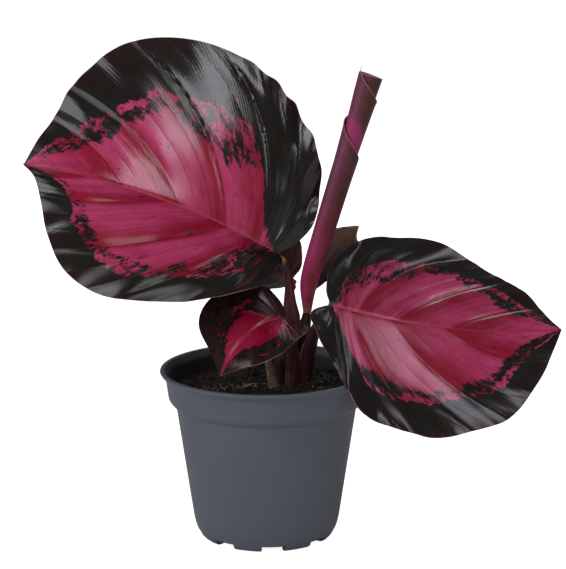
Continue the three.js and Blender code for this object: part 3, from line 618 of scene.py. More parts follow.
class Blade:
    """A leaf blade: its flat outline, and how it is folded, curled, arched and placed."""

    def __init__(self, shape):
        self.shape = shape
        heading, climb, roll = (math.radians(shape[key]) for key in ("heading", "climb", "roll"))
        self.along = Vector((math.cos(climb) * math.cos(heading), math.cos(climb) * math.sin(heading),
                             math.sin(climb)))
        level_side = Vector((-math.sin(heading), math.cos(heading), 0))
        level_face = self.along.cross(level_side)
        self.side = level_side * math.cos(roll) + level_face * math.sin(roll)
        self.face = self.along.cross(self.side)
        self.base = Vector(shape["base"])
        self.margins = {sign: self.measured_margin(sign) for sign in (1, -1)}
        self.valleys = {sign: shares(self.half(sign)["folds"]) for sign in (1, -1)}

    def half(self, sign):
        return self.shape["left" if sign > 0 else "right"]

    def measured_margin(self, sign):
        """Points round one margin with the distance to each along it."""
        outline = [(0, 0), *self.half(sign)["margin"], (self.shape["length"], 0)]
        controls = [Vector(point) for point in outline]
        points = [even_spline(controls, k / MARGIN_STEPS) for k in range(MARGIN_STEPS + 1)]
        distances = [0]
        for a, b in zip(points, points[1:]):
            distances.append(distances[-1] + (b - a).length)
        return points, distances

    def margin_point(self, sign, s):
        points, distances = self.margins[sign]
        goal = s * distances[-1]
        k = min(max(bisect.bisect_left(distances, goal), 1), len(points) - 1)
        span = distances[k] - distances[k - 1]
        return points[k - 1].lerp(points[k], (goal - distances[k - 1]) / span)

    def flat_point(self, sign, s, v):
        """The point a share v of the way along the vein that ends a share s round the margin."""
        end = self.margin_point(sign, s)
        root = Vector((self.shape["length"] * (0.25 * s + 0.75 * s ** 4.5), 0))
        elbow = Vector((mix(root.x, end.x, 0.35), 0.6 * end.y))
        point = root * (1 - v) ** 2 + elbow * 2 * v * (1 - v) + end * v ** 2
        point.y += v ** 7 * sum(depth * hump(s - place, SCALLOP_SHARE)
                                for place, depth in self.half(sign).get("scallops", ()))
        return point

    def bent(self, sign, x, y, lift):
        """Folds, curls and arches a flat point and places it, lift above the blade's middle."""
        shape, half = self.shape, self.half(sign)
        part = min(1, max(0, x / shape["length"]))
        bend = math.radians(shape["arch"]) / shape["length"]
        angle = bend * max(x, 0)
        forward = math.sin(angle) / bend if x > 0 else x
        drop = (1 - math.cos(angle)) / bend
        fold = math.radians(mix(*half["fold"], part))
        curl = math.radians(half["curl"] or 0.01) / shape["reach"]
        lean = fold - curl * y
        out = (math.sin(fold) - math.sin(lean)) / curl
        up = (math.cos(lean) - math.cos(fold)) / curl
        face = self.face * math.cos(angle) + self.along * math.sin(angle)
        across = shape["sweep"] * part ** 2 + sign * (out - lift * math.sin(lean))
        return (self.base + self.along * forward - self.face * drop + self.side * across
                + face * (up + lift * math.cos(lean)))

    def fold_count(self, sign, s, v):
        """Counts the broad folds from the base: a whole number in each valley between two of them."""
        valleys = [mix(at_midrib, at_margin, v) for at_midrib, at_margin in self.valleys[sign]]
        return along_stops(list(zip([0, *valleys, 1], range(len(valleys) + 2))), s)

    def relief(self, sign, count, s, v):
        """The broad folds, sharp in their valleys, and the ribs on them, as shares of their depths."""
        lean = count % 1
        crowns = self.half(sign).get("crowns", [0.8])
        own = crowns[min(int(count), len(crowns) - 1)]
        grown = smooth(0, 0.45, v) * (1 - 0.55 * smooth(0.8, 1, v)) * min(1, 7 * s, 6 * (1 - s))
        valley = VALLEY_DEPTH * hump(min(lean, 1 - lean), LINE_SHARE)
        broad = grown * (own * (math.sin(math.pi * lean ** 1.15) ** 0.6 - 0.6) - valley)
        rib = (count * self.shape["ribs"]) % 1
        fine = smooth(0, 0.3, v) * min(1, 9 * s, 9 * (1 - s)) * (math.sin(math.pi * rib) ** 0.7 - 0.5)
        return broad, fine

    def lift(self, sign, s, v, y, broad, fine):
        """How far the upper skin stands above the blade's middle."""
        half, shape = self.half(sign), self.shape
        fade = min(1, 6 * s, 6 * (1 - s))
        turn = 2 * math.pi * (half["waves"] * s + half["phase"])
        height = half["wave"] * along_stops(half.get("calm", [(0, 1), (1, 1)]), s) * fade
        wave = height * (v ** 4 * math.sin(turn) + 0.18 * v ** 6 * math.sin(2.7 * turn + 1))
        span = shape["length"] / 40
        place = Vector((s * 1.6 * span, sign * v * span * 0.8, shape["seed"]))
        sway = SWAY * fade * smooth(0, 0.35, v) * (1 - 0.6 * smooth(0.75, 1, v)) * noise.noise(place)
        groove = MIDRIB_GROOVE * hump(y, 1.1) * min(1, 8 * (1 - s))
        return (wave + sway * min(1, span / 3) - groove + broad * shape["fold_depth"]
                + fine * shape["rib_depth"] + UPPER_SKIN)

    def thickness(self, count, s, y):
        """A thin blade with a rib under the midrib and fine ribs under its veins."""
        rib = UNDER_MIDRIB * (1 - 0.85 * s) * hump(y, 1.9 - 1.1 * s)
        near = abs((count * self.shape["ribs"] + 0.5) % 1 - 0.5)
        return BLADE_SKIN + rib + UNDER_VEIN * hump(near, LINE_SHARE) * min(1, 0.2 * y)


def leaf_mesh(blade, skin):
    """The upper skin of a blade, with what its colours and thickness follow."""
    columns, rows = blade.shape["mesh"]
    bm, layers = grid_mesh(columns, 2 * rows, "place", "reach", "fold", "ridge", "width")
    group = bm.verts.layers.deform.new()
    scale = skin / (BLADE_SKIN * MM)
    for vert in bm.verts:
        s = (vert.co.x + 1) / 2
        sign = 1 if vert.co.y > 0 else -1
        v = abs(vert.co.y) ** ROW_SPACING
        flat = blade.flat_point(sign, s, v)
        count = blade.fold_count(sign, s, v)
        broad, fine = blade.relief(sign, count, s, v)
        vert.co = blade.bent(sign, flat.x, flat.y, blade.lift(sign, s, v, flat.y, broad, fine)) * MM
        paint(vert, layers, s, sign * v, count, broad, sign * flat.y * 0.01)
        vert[group][0] = min(1, scale * blade.thickness(count, s, flat.y) / THICKEST)
    weld(bm)
    return bm


def add_blade(name, materials, skin):
    """A leaf blade with its thickness, in the place of the frame's node of that name."""
    obj = new_object(leaf_mesh(Blade(LEAVES[name]), skin), name + "_blade", materials, [name])
    obj.vertex_groups.new(name="thickness")
    thicken(obj, THICKEST, "thickness")


def vein_lines(sh, fold, ribs=3):
    """How near a point is to a side vein, 1 on it and 0 away from it."""
    share = (fold * ribs).math("FRACT")
    return sh.ramp(share, [(0, 1), (0.03, 0.5), (0.07, 0), (0.94, 0), (0.98, 0.6), (1, 1)])


def by_half(sh, shape, key, place, side):
    """A value that each half of a blade lists along its margin."""
    left, right = (sh.ramp(place, shares(shape[half][key])) for half in ("left", "right"))
    return left * side + right * (1 - side)


def pink_zone(sh, shape, place, reach, fold):
    """Where a blade is pink: its solid heart, a ring of dashes, and flecks between the two."""
    seed, strong = shape["seed"], shape["ring_strength"]
    side = reach > 0
    drift = sh.noise((place * 9, reach * 3, seed))
    comb = sh.noise((fold * 9, reach * 1.5, seed))
    reached = reach.math("ABSOLUTE") - (drift - 0.5) * 0.12 - (comb - 0.5) * 0.14
    in_ring, in_core = ((by_half(sh, shape, key, place, side) - reached) * 5 + 0.5
                        for key in ("ring", "core"))
    ring = sh.ramp(in_ring, [(0.42, 0), (0.56, strong), (0.75, strong * 0.9), (0.95, 0)])
    band = sh.slope(in_ring, 0.5, 0.6) * by_half(sh, shape, "gap", place, side)
    core = sh.slope(in_core, 0.15, 0.8)
    patch = sh.noise((place * 20, reach * 7, seed + 4))
    grain = sh.noise((fold * 16, reach * 3, seed + 9))
    chance = ring.math("MAXIMUM", band).math("MAXIMUM", core) + (patch - 0.5) * 0.9 + (grain - 0.5) * 0.5
    along = sh.vector(place * shape["length"], reach * shape["reach"] * 0.4, seed)
    scatter = sh.cells(along, 0.25) * 0.36 + sh.cells(along, 0.8) * 0.36 + sh.cells(along, 2) * 0.28
    outside = sh.slope(in_ring, 0.36, 0.5, 1, 0)
    return ((chance * 1.1 - outside - scatter) * 3.6).clip()


def patterned_leaf_material(name, shape, settings):
    """Glossy blade: a green-black border and a pink heart with a ragged, flecked edge."""
    sh = new_shader(name)
    place, reach, fold, ridge, width = sh.attributes("place", "reach", "fold", "ridge", "width")
    pink = pink_zone(sh, shape, place, reach, fold)
    line = vein_lines(sh, fold, shape["ribs"])

    length, seed = shape["length"], shape["seed"]
    streak = sh.noise((fold * 9, reach * 1.6, seed), 1.3, 3, 0.6)
    cloud = sh.noise((place * 9, reach * 3, seed + 7))
    fine = sh.noise((place * length * 1.2, reach * 9, 5), 1, 2, 0.6)
    # The heart's tone is partly painted light and shade: each broad fold is painted darker towards its
    # base-side valley and lighter towards its tip-side one, and the ridge height paints highlight on the fold
    # crowns. The streak and cloud noises are the heart's own uneven tone. Rose goes where the tone is high,
    # crimson where it is low.
    panel_shade = sh.ramp(fold.math("FRACT"), [(0, 0.1), (0.2, 0.12), (0.5, 0.6), (0.85, 1), (0.96, 0.7), (1, 0.1)])
    tone = (panel_shade * 0.4 + ridge * 0.25 + streak * 0.35 + cloud * 0.6) * 0.9
    rose = sh.mix(sh.slope(tone, 0.46, 0.86) * shape["bloom"], settings.crimson, settings.rose)
    rose = sh.multiply(rose, sh.slope(fine, 0.3, 0.7, 0.86, 1.1))
    rose = sh.mix(line * 0.35, rose, (0.16, 0.004, 0.018))
    midrib = sh.slope(width.math("ABSOLUTE") * 100, 0.3, 0.8, 1, 0)
    rose = sh.mix(midrib * 0.8, rose, sh.mix(place, (0.55, 0.075, 0.075), (0.42, 0.02, 0.05)))

    blotch = sh.noise((place * 14, reach * 6, 2), 1, 3, 0.6)
    night = sh.mix(sh.slope(blotch, 0.4, 0.65), settings.border, settings.border_green)
    night = sh.mix(sh.slope(blotch, 0.35, 0.6) * shape["dusk"], night, (0.036, 0.016, 0.018))
    night = sh.mix(sh.slope(reach.math("ABSOLUTE"), 0.9, 1, 0, 0.7), night, (0.028, 0.007, 0.008))
    night = sh.mix(midrib * (1 - place) * 0.6, night, (0.09, 0.03, 0.02))

    ripples = (place * 2 * math.pi * 150).math("SINE") * 0.12
    pebble = sh.noise((place * length, reach * shape["reach"]), 1.6)
    height = ripples + pebble * 0.45 - line * 0.5 + pink * 0.1
    gloss = sh.noise((place * 22, reach * 8, seed), 1, 3, 0.6)
    rough = sh.slope(gloss, 0.3, 0.7, 0.12, 0.18) + pink * 0.03
    return sh.surface(sh.mix(pink, night, rose), rough, height, 0.4, 0.12)


def underside_material(name, low, high):
    """Matt, purple-maroon underside with raised veins."""
    sh = new_shader(name)
    fold, reach, place, width = sh.attributes("fold", "reach", "place", "width")
    mottle = sh.noise((place * 30, reach * 6, 1), 1, 4, 0.6)
    colour = sh.mix(sh.slope(mottle, 0.3, 0.7), low, high)
    colour = sh.mix(vein_lines(sh, fold) * 0.5, colour, (0.2, 0.03, 0.05))
    midrib = sh.slope(width.math("ABSOLUTE") * 10, 0.08, 0.2, 1, 0)
    colour = sh.mix(midrib * 0.85, colour, (0.2, 0.06, 0.04))
    ripples = (place * 2 * math.pi * 120).math("SINE") * 0.3
    return sh.surface(colour, 0.48, ripples + mottle, 0.3, 0.12)


def margin_material(name):
    """The thin pale line round a blade."""
    sh = new_shader(name)
    speck = sh.noise(sh.object_place(), 500)
    return sh.surface(sh.mix(speck, (0.2, 0.07, 0.075), (0.42, 0.2, 0.2)), 0.45)


def older_leaf_material(name, low, high, dry, pale):
    """The dull upper face of an older leaf, dried towards its tip and its margin."""
    sh = new_shader(name)
    place, reach, fold = sh.attributes("place", "reach", "fold")
    line = vein_lines(sh, fold)
    mottle = sh.noise((place * 16, reach * 5, 4), 1, 4, 0.6)
    spots = sh.noise((place * 60, reach * 22, 9), 1, 3, 0.6)
    colour = sh.mix(sh.slope(mottle, 0.35, 0.65), low, high)
    colour = sh.mix(line * 0.5, colour, (0.008, 0.005, 0.005))
    dried = sh.slope(place + (mottle - 0.5) * 0.6, 0.5, 0.95)
    colour = sh.mix(dried, colour, dry)
    colour = sh.multiply(colour, sh.slope(spots, 0.3, 0.7, 0.7, 1.2))
    edge = sh.slope(reach.math("ABSOLUTE") + (spots - 0.5) * 0.1, 0.88, 0.98)
    colour = sh.mix(edge * dried * 0.8, colour, pale)
    return sh.surface(colour, 0.45, mottle + spots * 0.4 - line, 0.4, 0.15)


# ------------------------------------------------------------------ stalks

class Stalk:
    """A stalk: an oval section that bends round the clump and swells under its blade."""

    def __init__(self, shape):
        stations = list(shape["stations"])
        if shape["leaf"]:
            blade = Blade(LEAVES[shape["leaf"]])
            start = Vector(stations[-1][:3])
            end = blade.base - blade.face * JOINT_BELOW - blade.along * JOINT_BEHIND
            swell = shape["swell"]
            stations += [(*start.lerp(end, JOINT_PLACE), swell, swell, 0), (*end, JOINT_TIP, JOINT_TIP, 0)]
        self.points = [Vector(station[:3]) for station in stations]
        self.sizes = [Vector(station[3:]) for station in stations]
        face = math.radians(shape["face"])
        self.across = Vector((-math.sin(face), math.cos(face), 0))

    def point(self, t, turn, ribs, thin):
        """The point at a share t of the stalk's length and an angle round it."""
        wide, thick, hug = even_spline(self.sizes, t)
        centre = path_point(self.points, t)
        tangent = path_tangent(self.points, t)
        broad = (self.across - tangent * self.across.dot(tangent)).normalized()
        inward = tangent.cross(broad).normalized()
        rib = 1 + ribs * math.cos(turn * STALK_RIBS)
        slim = 1 - thin * math.cos(turn) ** 4
        u = math.cos(turn) * wide * rib
        w = math.sin(turn) * thick * rib * slim + hug * math.cos(turn) ** 2
        return centre + broad * u + inward * w


def stalk_mesh(shape):
    """A closed sweep up the stalk, with what its colours follow."""
    stalk = Stalk(shape)
    bm, layers = grid_mesh(*STALK_MESH, "rise", "round", "joint")
    joint_start = 1 - 1.75 / (len(stalk.points) - 1)
    for vert in bm.verts:
        turn = math.pi * (vert.co.x + 1)
        t = (vert.co.y + 1) / 2
        sheathed = 1 - smooth(shape["sheath"] - 0.08, shape["sheath"] + 0.08, t)
        point = stalk.point(t, turn, STALK_RIB * (1 + sheathed), SHEATH_THIN * sheathed)
        wobble = (noise.noise(point * 0.25), noise.noise(point * 0.22 + Vector((9, 3, 1))), 0)
        point += Vector(wobble) * STALK_WOBBLE * min(1, 6 * (1 - t))
        vert.co = point * MM
        joint = smooth(joint_start, joint_start + 0.1, t) if shape["joint"] else 0
        paint(vert, layers, point.z * 0.01, abs(math.cos(turn)) * sheathed, joint)
    weld(bm)
    bmesh.ops.holes_fill(bm, edges=[edge for edge in bm.edges if edge.is_boundary], sides=0)
    face_outward(bm)
    return bm


def stalk_material(settings):
    """Dark maroon sheath with crimson streaks and pale edges, and a yellow-green joint; redder and lighter
    higher up, partly painted light, and darker brown at the foot, painted shade together with soil.
    """
    sh = new_shader("stalk_skin")
    rise, around, joint = sh.attributes("rise", "round", "joint")
    streaks = sh.streaks(1000, 60, 4, 0.6)
    patches = sh.streaks(130, 45, 3, 0.5)
    colour = sh.mix(sh.slope(streaks, 0.35, 0.7), settings.stalk, settings.stalk_streak)
    colour = sh.mix(sh.slope(patches, 0.5, 0.68, 0, 0.75), colour, (0.14, 0.01, 0.024))
    # Higher up the stalks turn redder and lighter: partly their own crimson, partly a painted highlight.
    ruddy_and_lit = sh.slope(rise, 1.1, 1.3, 0, 0.75) * sh.slope(streaks, 0.3, 0.6, 0.5, 1)
    colour = sh.mix(ruddy_and_lit, colour, (0.13, 0.034, 0.028))
    # Near the soil the stalks are painted darker brown: painted shade together with soil on them.
    foot = sh.slope(rise, 0.86, 0.95, 1, 0)
    colour = sh.mix(foot * 0.75, colour, (0.024, 0.017, 0.009))
    colour = sh.mix(sh.slope(around, 0.93, 0.99, 0, 0.7), colour, (0.26, 0.09, 0.07))
    colour = sh.mix(joint, colour, sh.mix(streaks, (0.24, 0.16, 0.03), (0.4, 0.3, 0.07)))
    return sh.surface(colour, 0.52, streaks, 0.4, 0.25, 0.35)


def dried_material(name):
    """Dry tan fibres of an old stalk."""
    sh = new_shader(name)
    fibres = sh.streaks(1600, 70, 4, 0.65)
    blotch = sh.noise(sh.object_place(), 180, 3)
    colour = sh.mix(sh.slope(fibres, 0.3, 0.75), (0.07, 0.042, 0.027), (0.36, 0.27, 0.18))
    colour = sh.multiply(colour, sh.slope(blotch, 0.3, 0.65, 0.65, 1.1))
    return sh.surface(colour, 0.85, fibres, 0.8, 0.4)


# ------------------------------------------------------------------ the rolled leaf

def spear_point(q, t):
    """A point on the rolled sheet: q from its free edge to its heart, t from its foot to its top."""
    points = [Vector(point) for point in SPEAR_AXIS]
    tangent = path_tangent(points, t)
    right = (Vector((1, 0, 0)) - tangent * tangent.x).normalized()
    back = tangent.cross(right)
    radius = along_stops(SPEAR_RADII, t)
    inner = q * SPEAR_TURNS
    pitch = min(SPEAR_PITCH, (radius - SPEAR_HEART) / SPEAR_TURNS)
    turn = math.radians(along_stops(SPEAR_EDGE, t) - 360 * inner)
    slack = SPEAR_SLACK * hump(inner, 0.05) * smooth(0.5, 0.8, t)
    distance = (radius - inner * pitch + slack) * (1 + 0.02 * math.sin(2 * turn + 5 * t))
    dip = smooth(0.86, 1, t) * (0.25 * math.sin(9 * inner) - 1.1 * inner / (1 + inner))
    return (path_point(points, t) + (right * math.cos(turn) + back * math.sin(turn)) * distance
            + tangent * dip)


def spear_mesh():
    """The rolled sheet, with the turns counted from its free edge."""
    bm, layers = grid_mesh(*SPEAR_MESH, "rise", "inner", "heading")
    for vert in bm.verts:
        q = ((1 - vert.co.x) / 2) ** SPEAR_SPACING
        t = (vert.co.y + 1) / 2
        vert.co = spear_point(q, t) * MM
        inner = q * SPEAR_TURNS
        paint(vert, layers, t, inner, along_stops(SPEAR_EDGE, t) / 360 - inner)
    return bm


def tip_mesh():
    """The dry thread at the tip of the rolled leaf."""
    line = [(spear_point(0, 1) + Vector(step)) * MM for step in SPEAR_THREAD]
    bm = bmesh.new()
    for vert in add_rod(bm, sides=8, tip_radius=THREAD_TIP, cuts=6):
        middle = path_point(line, (vert.co.z + 1) / 2)
        vert.co = middle + Vector((vert.co.x, vert.co.y, 0)) * THREAD_RADIUS * MM
    return bm


def rolled_leaf_material():
    """Back of the rolled leaf: purple-maroon above, magenta where it was covered, green at the foot, with
    painted shade in darker red on one side of the roll.
    """
    sh = new_shader("rolled_leaf_back")
    rise, inner, heading = sh.attributes("rise", "inner", "heading")
    streaks = sh.noise((inner * 70, rise * 30), 1, 3, 0.6)
    soft = sh.noise((inner * 4, rise * 9, 3), 1, 3)
    # Painted shade: one side of the roll, turned away from the light, is painted a darker red.
    shaded_side = (heading * 2 * math.pi + 0.9).math("COSINE")
    colour = sh.ramp(rise, [
        (0, (0.36, 0.23, 0.1)), (0.06, (0.4, 0.1, 0.14)), (0.13, (0.5, 0.045, 0.16)),
        (0.3, (0.46, 0.036, 0.15)), (0.42, (0.3, 0.03, 0.11)), (0.56, (0.17, 0.032, 0.08)),
        (0.8, (0.18, 0.038, 0.085)), (1, (0.15, 0.04, 0.065))])
    shaded_red = sh.ramp(rise, [(0.05, (0.22, 0.02, 0.03)), (0.4, (0.16, 0.014, 0.025)), (0.6, (0.085, 0.02, 0.022)),
                         (1, (0.09, 0.026, 0.026))])
    colour = sh.mix(sh.slope(shaded_side * 0.5 + soft * 0.5, 0.35, 0.75), colour, shaded_red)
    glow = sh.ramp(rise, [(0.68, 0), (0.76, 1), (0.84, 1), (0.93, 0)]) * sh.slope(inner, 0.6, 0.8)
    colour = sh.mix(glow, colour, (0.33, 0.03, 0.12))
    flecks = sh.noise((inner * 30, rise * 90, 8), 1, 3, 0.7)
    speckle = sh.slope(flecks, 0.5, 0.6, 0, 0.8) * sh.slope(rise, 0.02, 0.12, 1, 0)
    colour = sh.mix(speckle, colour, (0.45, 0.36, 0.1))
    colour = sh.multiply(colour, sh.slope(streaks, 0.3, 0.7, 0.86, 1.12))
    colour = sh.mix(sh.slope(inner, 0.006, 0.018, 0.8, 0), colour, (0.42, 0.2, 0.2))
    return sh.surface(colour, 0.45, streaks, 0.3, 0.2, 0.25)


def rolled_face_material():
    """Inside of the rolled leaf, its upper face: yellowish pink, with painted shade darkening it down in the
    roll.
    """
    sh = new_shader("rolled_leaf_face")
    rise, inner = sh.attributes("rise", "inner")
    cloud = sh.noise((inner * 9, rise * 20, 1), 1, 3, 0.6)
    colour = sh.mix(cloud, (0.42, 0.2, 0.12), (0.5, 0.3, 0.26))
    # Painted shade: below the top of the roll the inner face is painted nearly black.
    colour = sh.mix(sh.slope(rise, 0.93, 1, 1, 0), colour, (0.05, 0.012, 0.01))
    return sh.surface(colour, 0.5, cloud, 0.3, 0.2)


# ------------------------------------------------------------------ soil

def polar(radius, turn):
    """The x and y of a point that far from the Z axis."""
    return radius * math.cos(turn), radius * math.sin(turn)


def soil_height(x, y):
    """Height of the soil's surface: low lumps, a slight heap round the clump, and a fall to the wall."""
    lumps = math.sin(0.21 * x + 0.4) * math.cos(0.17 * y) + 0.6 * math.sin(0.43 * x - 0.37 * y + 1)
    heap = SOIL_HEAP * hump(math.hypot(x - SOIL_HEART[0], y - SOIL_HEART[1]), SOIL_HEAP_REACH)
    heap -= SOIL_FALL * smooth(*SOIL_FALL_RADII, math.hypot(x, y))
    rough = sum(size * noise.noise(Vector((x, y, 7)) * scale) for size, scale in SOIL_ROUGHNESS)
    return SOIL_TOP + 0.6 * lumps + heap + rough


def soil_point(x, y):
    """The point of the soil's surface above x and y."""
    return Vector((x, y, soil_height(x, y)))


def soil_mesh():
    """The whole body of soil from one grid: under the base, up the wall and in over the top."""
    sides, rings = SOIL_MESH
    wall = [(0, SOIL_WALL[0][1]), *SOIL_WALL]
    rows = len(wall) + rings
    bm, _ = grid_mesh(sides, rows)
    for vert in bm.verts:
        turn = math.pi * (vert.co.x + 1)
        row = round((vert.co.y + 1) / 2 * rows)
        if row < len(wall):
            radius, height = wall[row]
            vert.co = Vector((*polar(radius, turn), height)) * MM
        else:
            inward = (row - len(wall)) / rings
            vert.co = soil_point(*polar(SOIL_REACH * (1 - inward), turn)) * MM
    weld(bm)
    face_outward(bm)
    return bm


def on_soil(rng, reach):
    """A random place on the soil, clear of the pot's wall."""
    radius = reach * math.sqrt(rng.random())
    return soil_point(*polar(radius, rng.uniform(0, 2 * math.pi)))


def crumb_mesh(count):
    """Small lumps of peat lying on the soil."""
    rng = random.Random(5)
    bm = bmesh.new()
    for _ in range(count):
        place = on_soil(rng, CRUMB_REACH)
        size = CRUMB_LEAST + CRUMB_MORE * rng.random() ** 3
        turned = Matrix.Rotation(rng.uniform(0, 6.28), 4, Vector((rng.random(), rng.random(), 1)))
        stretch = Matrix.Diagonal((size * rng.uniform(0.7, 1.3), size * rng.uniform(0.7, 1.3),
                                   size * rng.uniform(0.5, 0.9), 1))
        moved = Matrix.Translation((place + Vector((0, 0, size * 0.25))) * MM)
        lump = bmesh.ops.create_icosphere(bm, subdivisions=1, radius=MM, matrix=moved @ turned @ stretch)
        for vert in lump["verts"]:
            vert.co += Vector([rng.uniform(-1, 1) for _ in range(3)]) * 0.22 * size * MM
    return bm


def fibre_mesh(count):
    """Pale fibres in the peat and bits of bark on it."""
    rng = random.Random(17)
    bm = bmesh.new()
    for k in range(count + GRAINS):
        place = on_soil(rng, FIBRE_REACH)
        long, thick = rng.uniform(*FIBRE_LENGTHS), rng.uniform(*FIBRE_RADII)
        if k >= count:
            place = soil_point(rng.uniform(*GRAINS_ACROSS), rng.gauss(*GRAINS_ROW))
            long, thick = rng.uniform(*GRAIN_LENGTHS), rng.uniform(*GRAIN_RADII)
        place.z += FIBRE_LIFT
        turn = rng.uniform(0, 2 * math.pi)
        along = Vector((*polar(1, turn), rng.uniform(-0.2, 0.5)))
        side = Vector((-along.y, along.x, 0))
        bow = (side + Vector((0, 0, 0.6))) * rng.uniform(-0.25, 0.25) * long
        for vert in add_rod(bm, sides=4, tip_radius=FIBRE_TIP, cuts=3):
            share = vert.co.z / 2
            skin = (side * vert.co.x + Vector((0, 0, vert.co.y))) * thick
            vert.co = (place + along * share * long + bow * (1 - 4 * share ** 2) + skin) * MM
    return bm


def soil_material(settings):
    """Damp black-brown peat."""
    sh = new_shader("peat")
    place = sh.object_place()
    coarse = sh.noise(place, 260, 5, 0.65)
    fine = sh.noise(place, 1400, 4, 0.7)
    colour = sh.mix(sh.slope(coarse, 0.35, 0.7), settings.colour, settings.pale)
    colour = sh.multiply(colour, sh.slope(fine, 0.25, 0.7, 0.4, 1.3))
    return sh.surface(colour, 0.95, fine + coarse * 1.5, 0.9, 0.8)


def fibre_material():
    """Brown to tan fibres, and the palest bark in front of the clump."""
    sh = new_shader("peat_fibres")
    place = sh.object_place()
    tone = sh.noise(place, 90)
    near = sh.ramp(sh.part(place, 1) * -50, [(0, 0), (0.12, 0.85), (0.5, 0.85), (0.65, 0)])
    colour = sh.mix(sh.slope(tone, 0.48, 0.72), (0.02, 0.012, 0.007), (0.4, 0.24, 0.08))
    colour = sh.mix(near * sh.slope(tone, 0.35, 0.6, 0.15, 1), colour, (0.62, 0.49, 0.28))
    return sh.surface(colour, 0.8)


def root_material():
    """Pale, earthy skin of the crown and roots."""
    sh = new_shader("root_skin")
    earth = sh.noise(sh.object_place(), 220, 4, 0.6)
    colour = sh.mix(sh.slope(earth, 0.35, 0.65), (0.09, 0.055, 0.03), (0.36, 0.27, 0.16))
    return sh.surface(colour, 0.8, earth, 0.5, 0.4)


# ------------------------------------------------------------------ pot

def pot_mesh():
    """The pot's wall with its lip and its floor, turned from one line."""
    bm = bmesh.new()
    line = rounded(POT_OUTSIDE, OUTER_ROUNDING) + rounded(POT_INSIDE, INNER_ROUNDING)
    verts = [bm.verts.new((radius * MM, 0, height * MM)) for radius, height in line]
    edges = [bm.edges.new(pair) for pair in zip(verts, verts[1:])]
    spin(bm, verts + edges, 2 * math.pi, POT_SIDES, True)
    weld(bm)
    face_outward(bm)
    return bm


def foot_mesh():
    """One arc of the foot for each notch, and the pad in the middle of the base."""
    bm = bmesh.new()
    gap = FOOT_NOTCH_WIDTH / FOOT_MIDDLE
    arc = 2 * math.pi / FOOT_NOTCHES - gap
    for k in range(FOOT_NOTCHES):
        start = math.radians(270 + FOOT_NOTCH_TURN + k * 360 / FOOT_NOTCHES) + gap / 2
        turn = Matrix.Rotation(start, 4, "Z")
        verts = [bm.verts.new(turn @ Vector((radius * MM, 0, height * MM)))
                 for radius, height in FOOT_SECTION]
        face = bm.faces.new(verts)
        spin(bm, [face, *face.edges, *verts], arc, FOOT_STEPS, False)
    add_cylinder(bm, (0, 0, FOOT_PAD_HEIGHT / 2), FOOT_PAD_RADIUS, FOOT_PAD_HEIGHT, FOOT_PAD_SIDES)
    face_outward(bm)
    return bm


def pot_material(settings):
    """Satin dark grey moulded plastic."""
    sh = new_shader("pot_plastic")
    place = sh.object_place()
    grain = sh.noise(place, 2600)
    cloud = sh.noise(place, 26, 3)
    dust = sh.noise(place, 420, 3, 0.7)
    colour = sh.multiply(settings.colour, sh.slope(cloud, 0.3, 0.7, 0.94, 1.05))
    colour = sh.mix(sh.slope(dust, 0.7, 0.8, 0, 0.25), colour, (0.2, 0.19, 0.18))
    rough = sh.slope(cloud, 0.3, 0.7, 0.46, 0.54)
    return sh.surface(colour, rough, grain + cloud, 0.12, 0.2, 0.4)


def inside_shade_material(settings):
    """The inside of the pot below its lip, darkened with painted shade, nearly black and mottled."""
    sh = new_shader("pot_inside")
    place = sh.object_place()
    height = sh.part(place, 2) * 1000 + (sh.noise(place, 70, 4, 0.6) - 0.5) * 5
    inside_mottle = sh.noise(place, 500, 4, 0.7)
    # The nearly black, mottled colour here is painted shade on the inside wall below the lip.
    soil = sh.mix(sh.slope(inside_mottle, 0.35, 0.7), (0.006, 0.0045, 0.0035), (0.022, 0.018, 0.015))
    colour = sh.mix(sh.slope(height * 0.01, 0.915, 0.94, 1, 0), settings.colour, soil)
    return sh.surface(colour, 0.75, inside_mottle, 0.4, 0.4)


# ------------------------------------------------------------------ settings

def colour_property(name, description, default):
    return bpy.props.FloatVectorProperty(name=name, description=description, default=default, size=3,
                                         min=0, max=1, subtype="COLOR")


class PotSettings(bpy.types.PropertyGroup):
    colour: colour_property("Plastic", "Colour of the pot's plastic", (0.1, 0.11, 0.135))


class SoilSettings(bpy.types.PropertyGroup):
    colour: colour_property("Peat", "Colour of the damp peat", (0.013, 0.009, 0.0065))
    pale: colour_property("Dry peat", "Colour of the drier crumbs", (0.034, 0.021, 0.013))
    crumbs: bpy.props.IntProperty(name="Crumbs", description="Number of loose lumps on the soil",
                                  default=1100, min=0, max=3000)
    fibres: bpy.props.IntProperty(name="Fibres", description="Number of pale fibres in the soil",
                                  default=240, min=0, max=800)


class LeafSettings(bpy.types.PropertyGroup):
    thickness: bpy.props.FloatProperty(
        name="Thickness", description="Thickness of a blade between its ribs",
        default=BLADE_SKIN * MM, min=0.2 * MM, max=1.5 * MM, unit="LENGTH")
    # Crimson and rose are mixed by a tone that is partly painted shade and light across the folds.
    crimson: colour_property("Crimson", "Deeper colour of a leaf's heart", (0.3, 0.004, 0.029))
    rose: colour_property("Rose", "Lighter colour of a leaf's heart", (0.57, 0.057, 0.172))
    border: colour_property("Border", "Dark colour of a leaf's border", (0.0105, 0.0062, 0.0046))
    border_green: colour_property("Border green", "Greener patches of the border", (0.012, 0.0125, 0.009))
    stalk: colour_property("Stalk", "Dark colour of the stalks", (0.016, 0.003, 0.004))
    stalk_streak: colour_property("Stalk streaks", "Redder streaks of the stalks", (0.085, 0.012, 0.014))


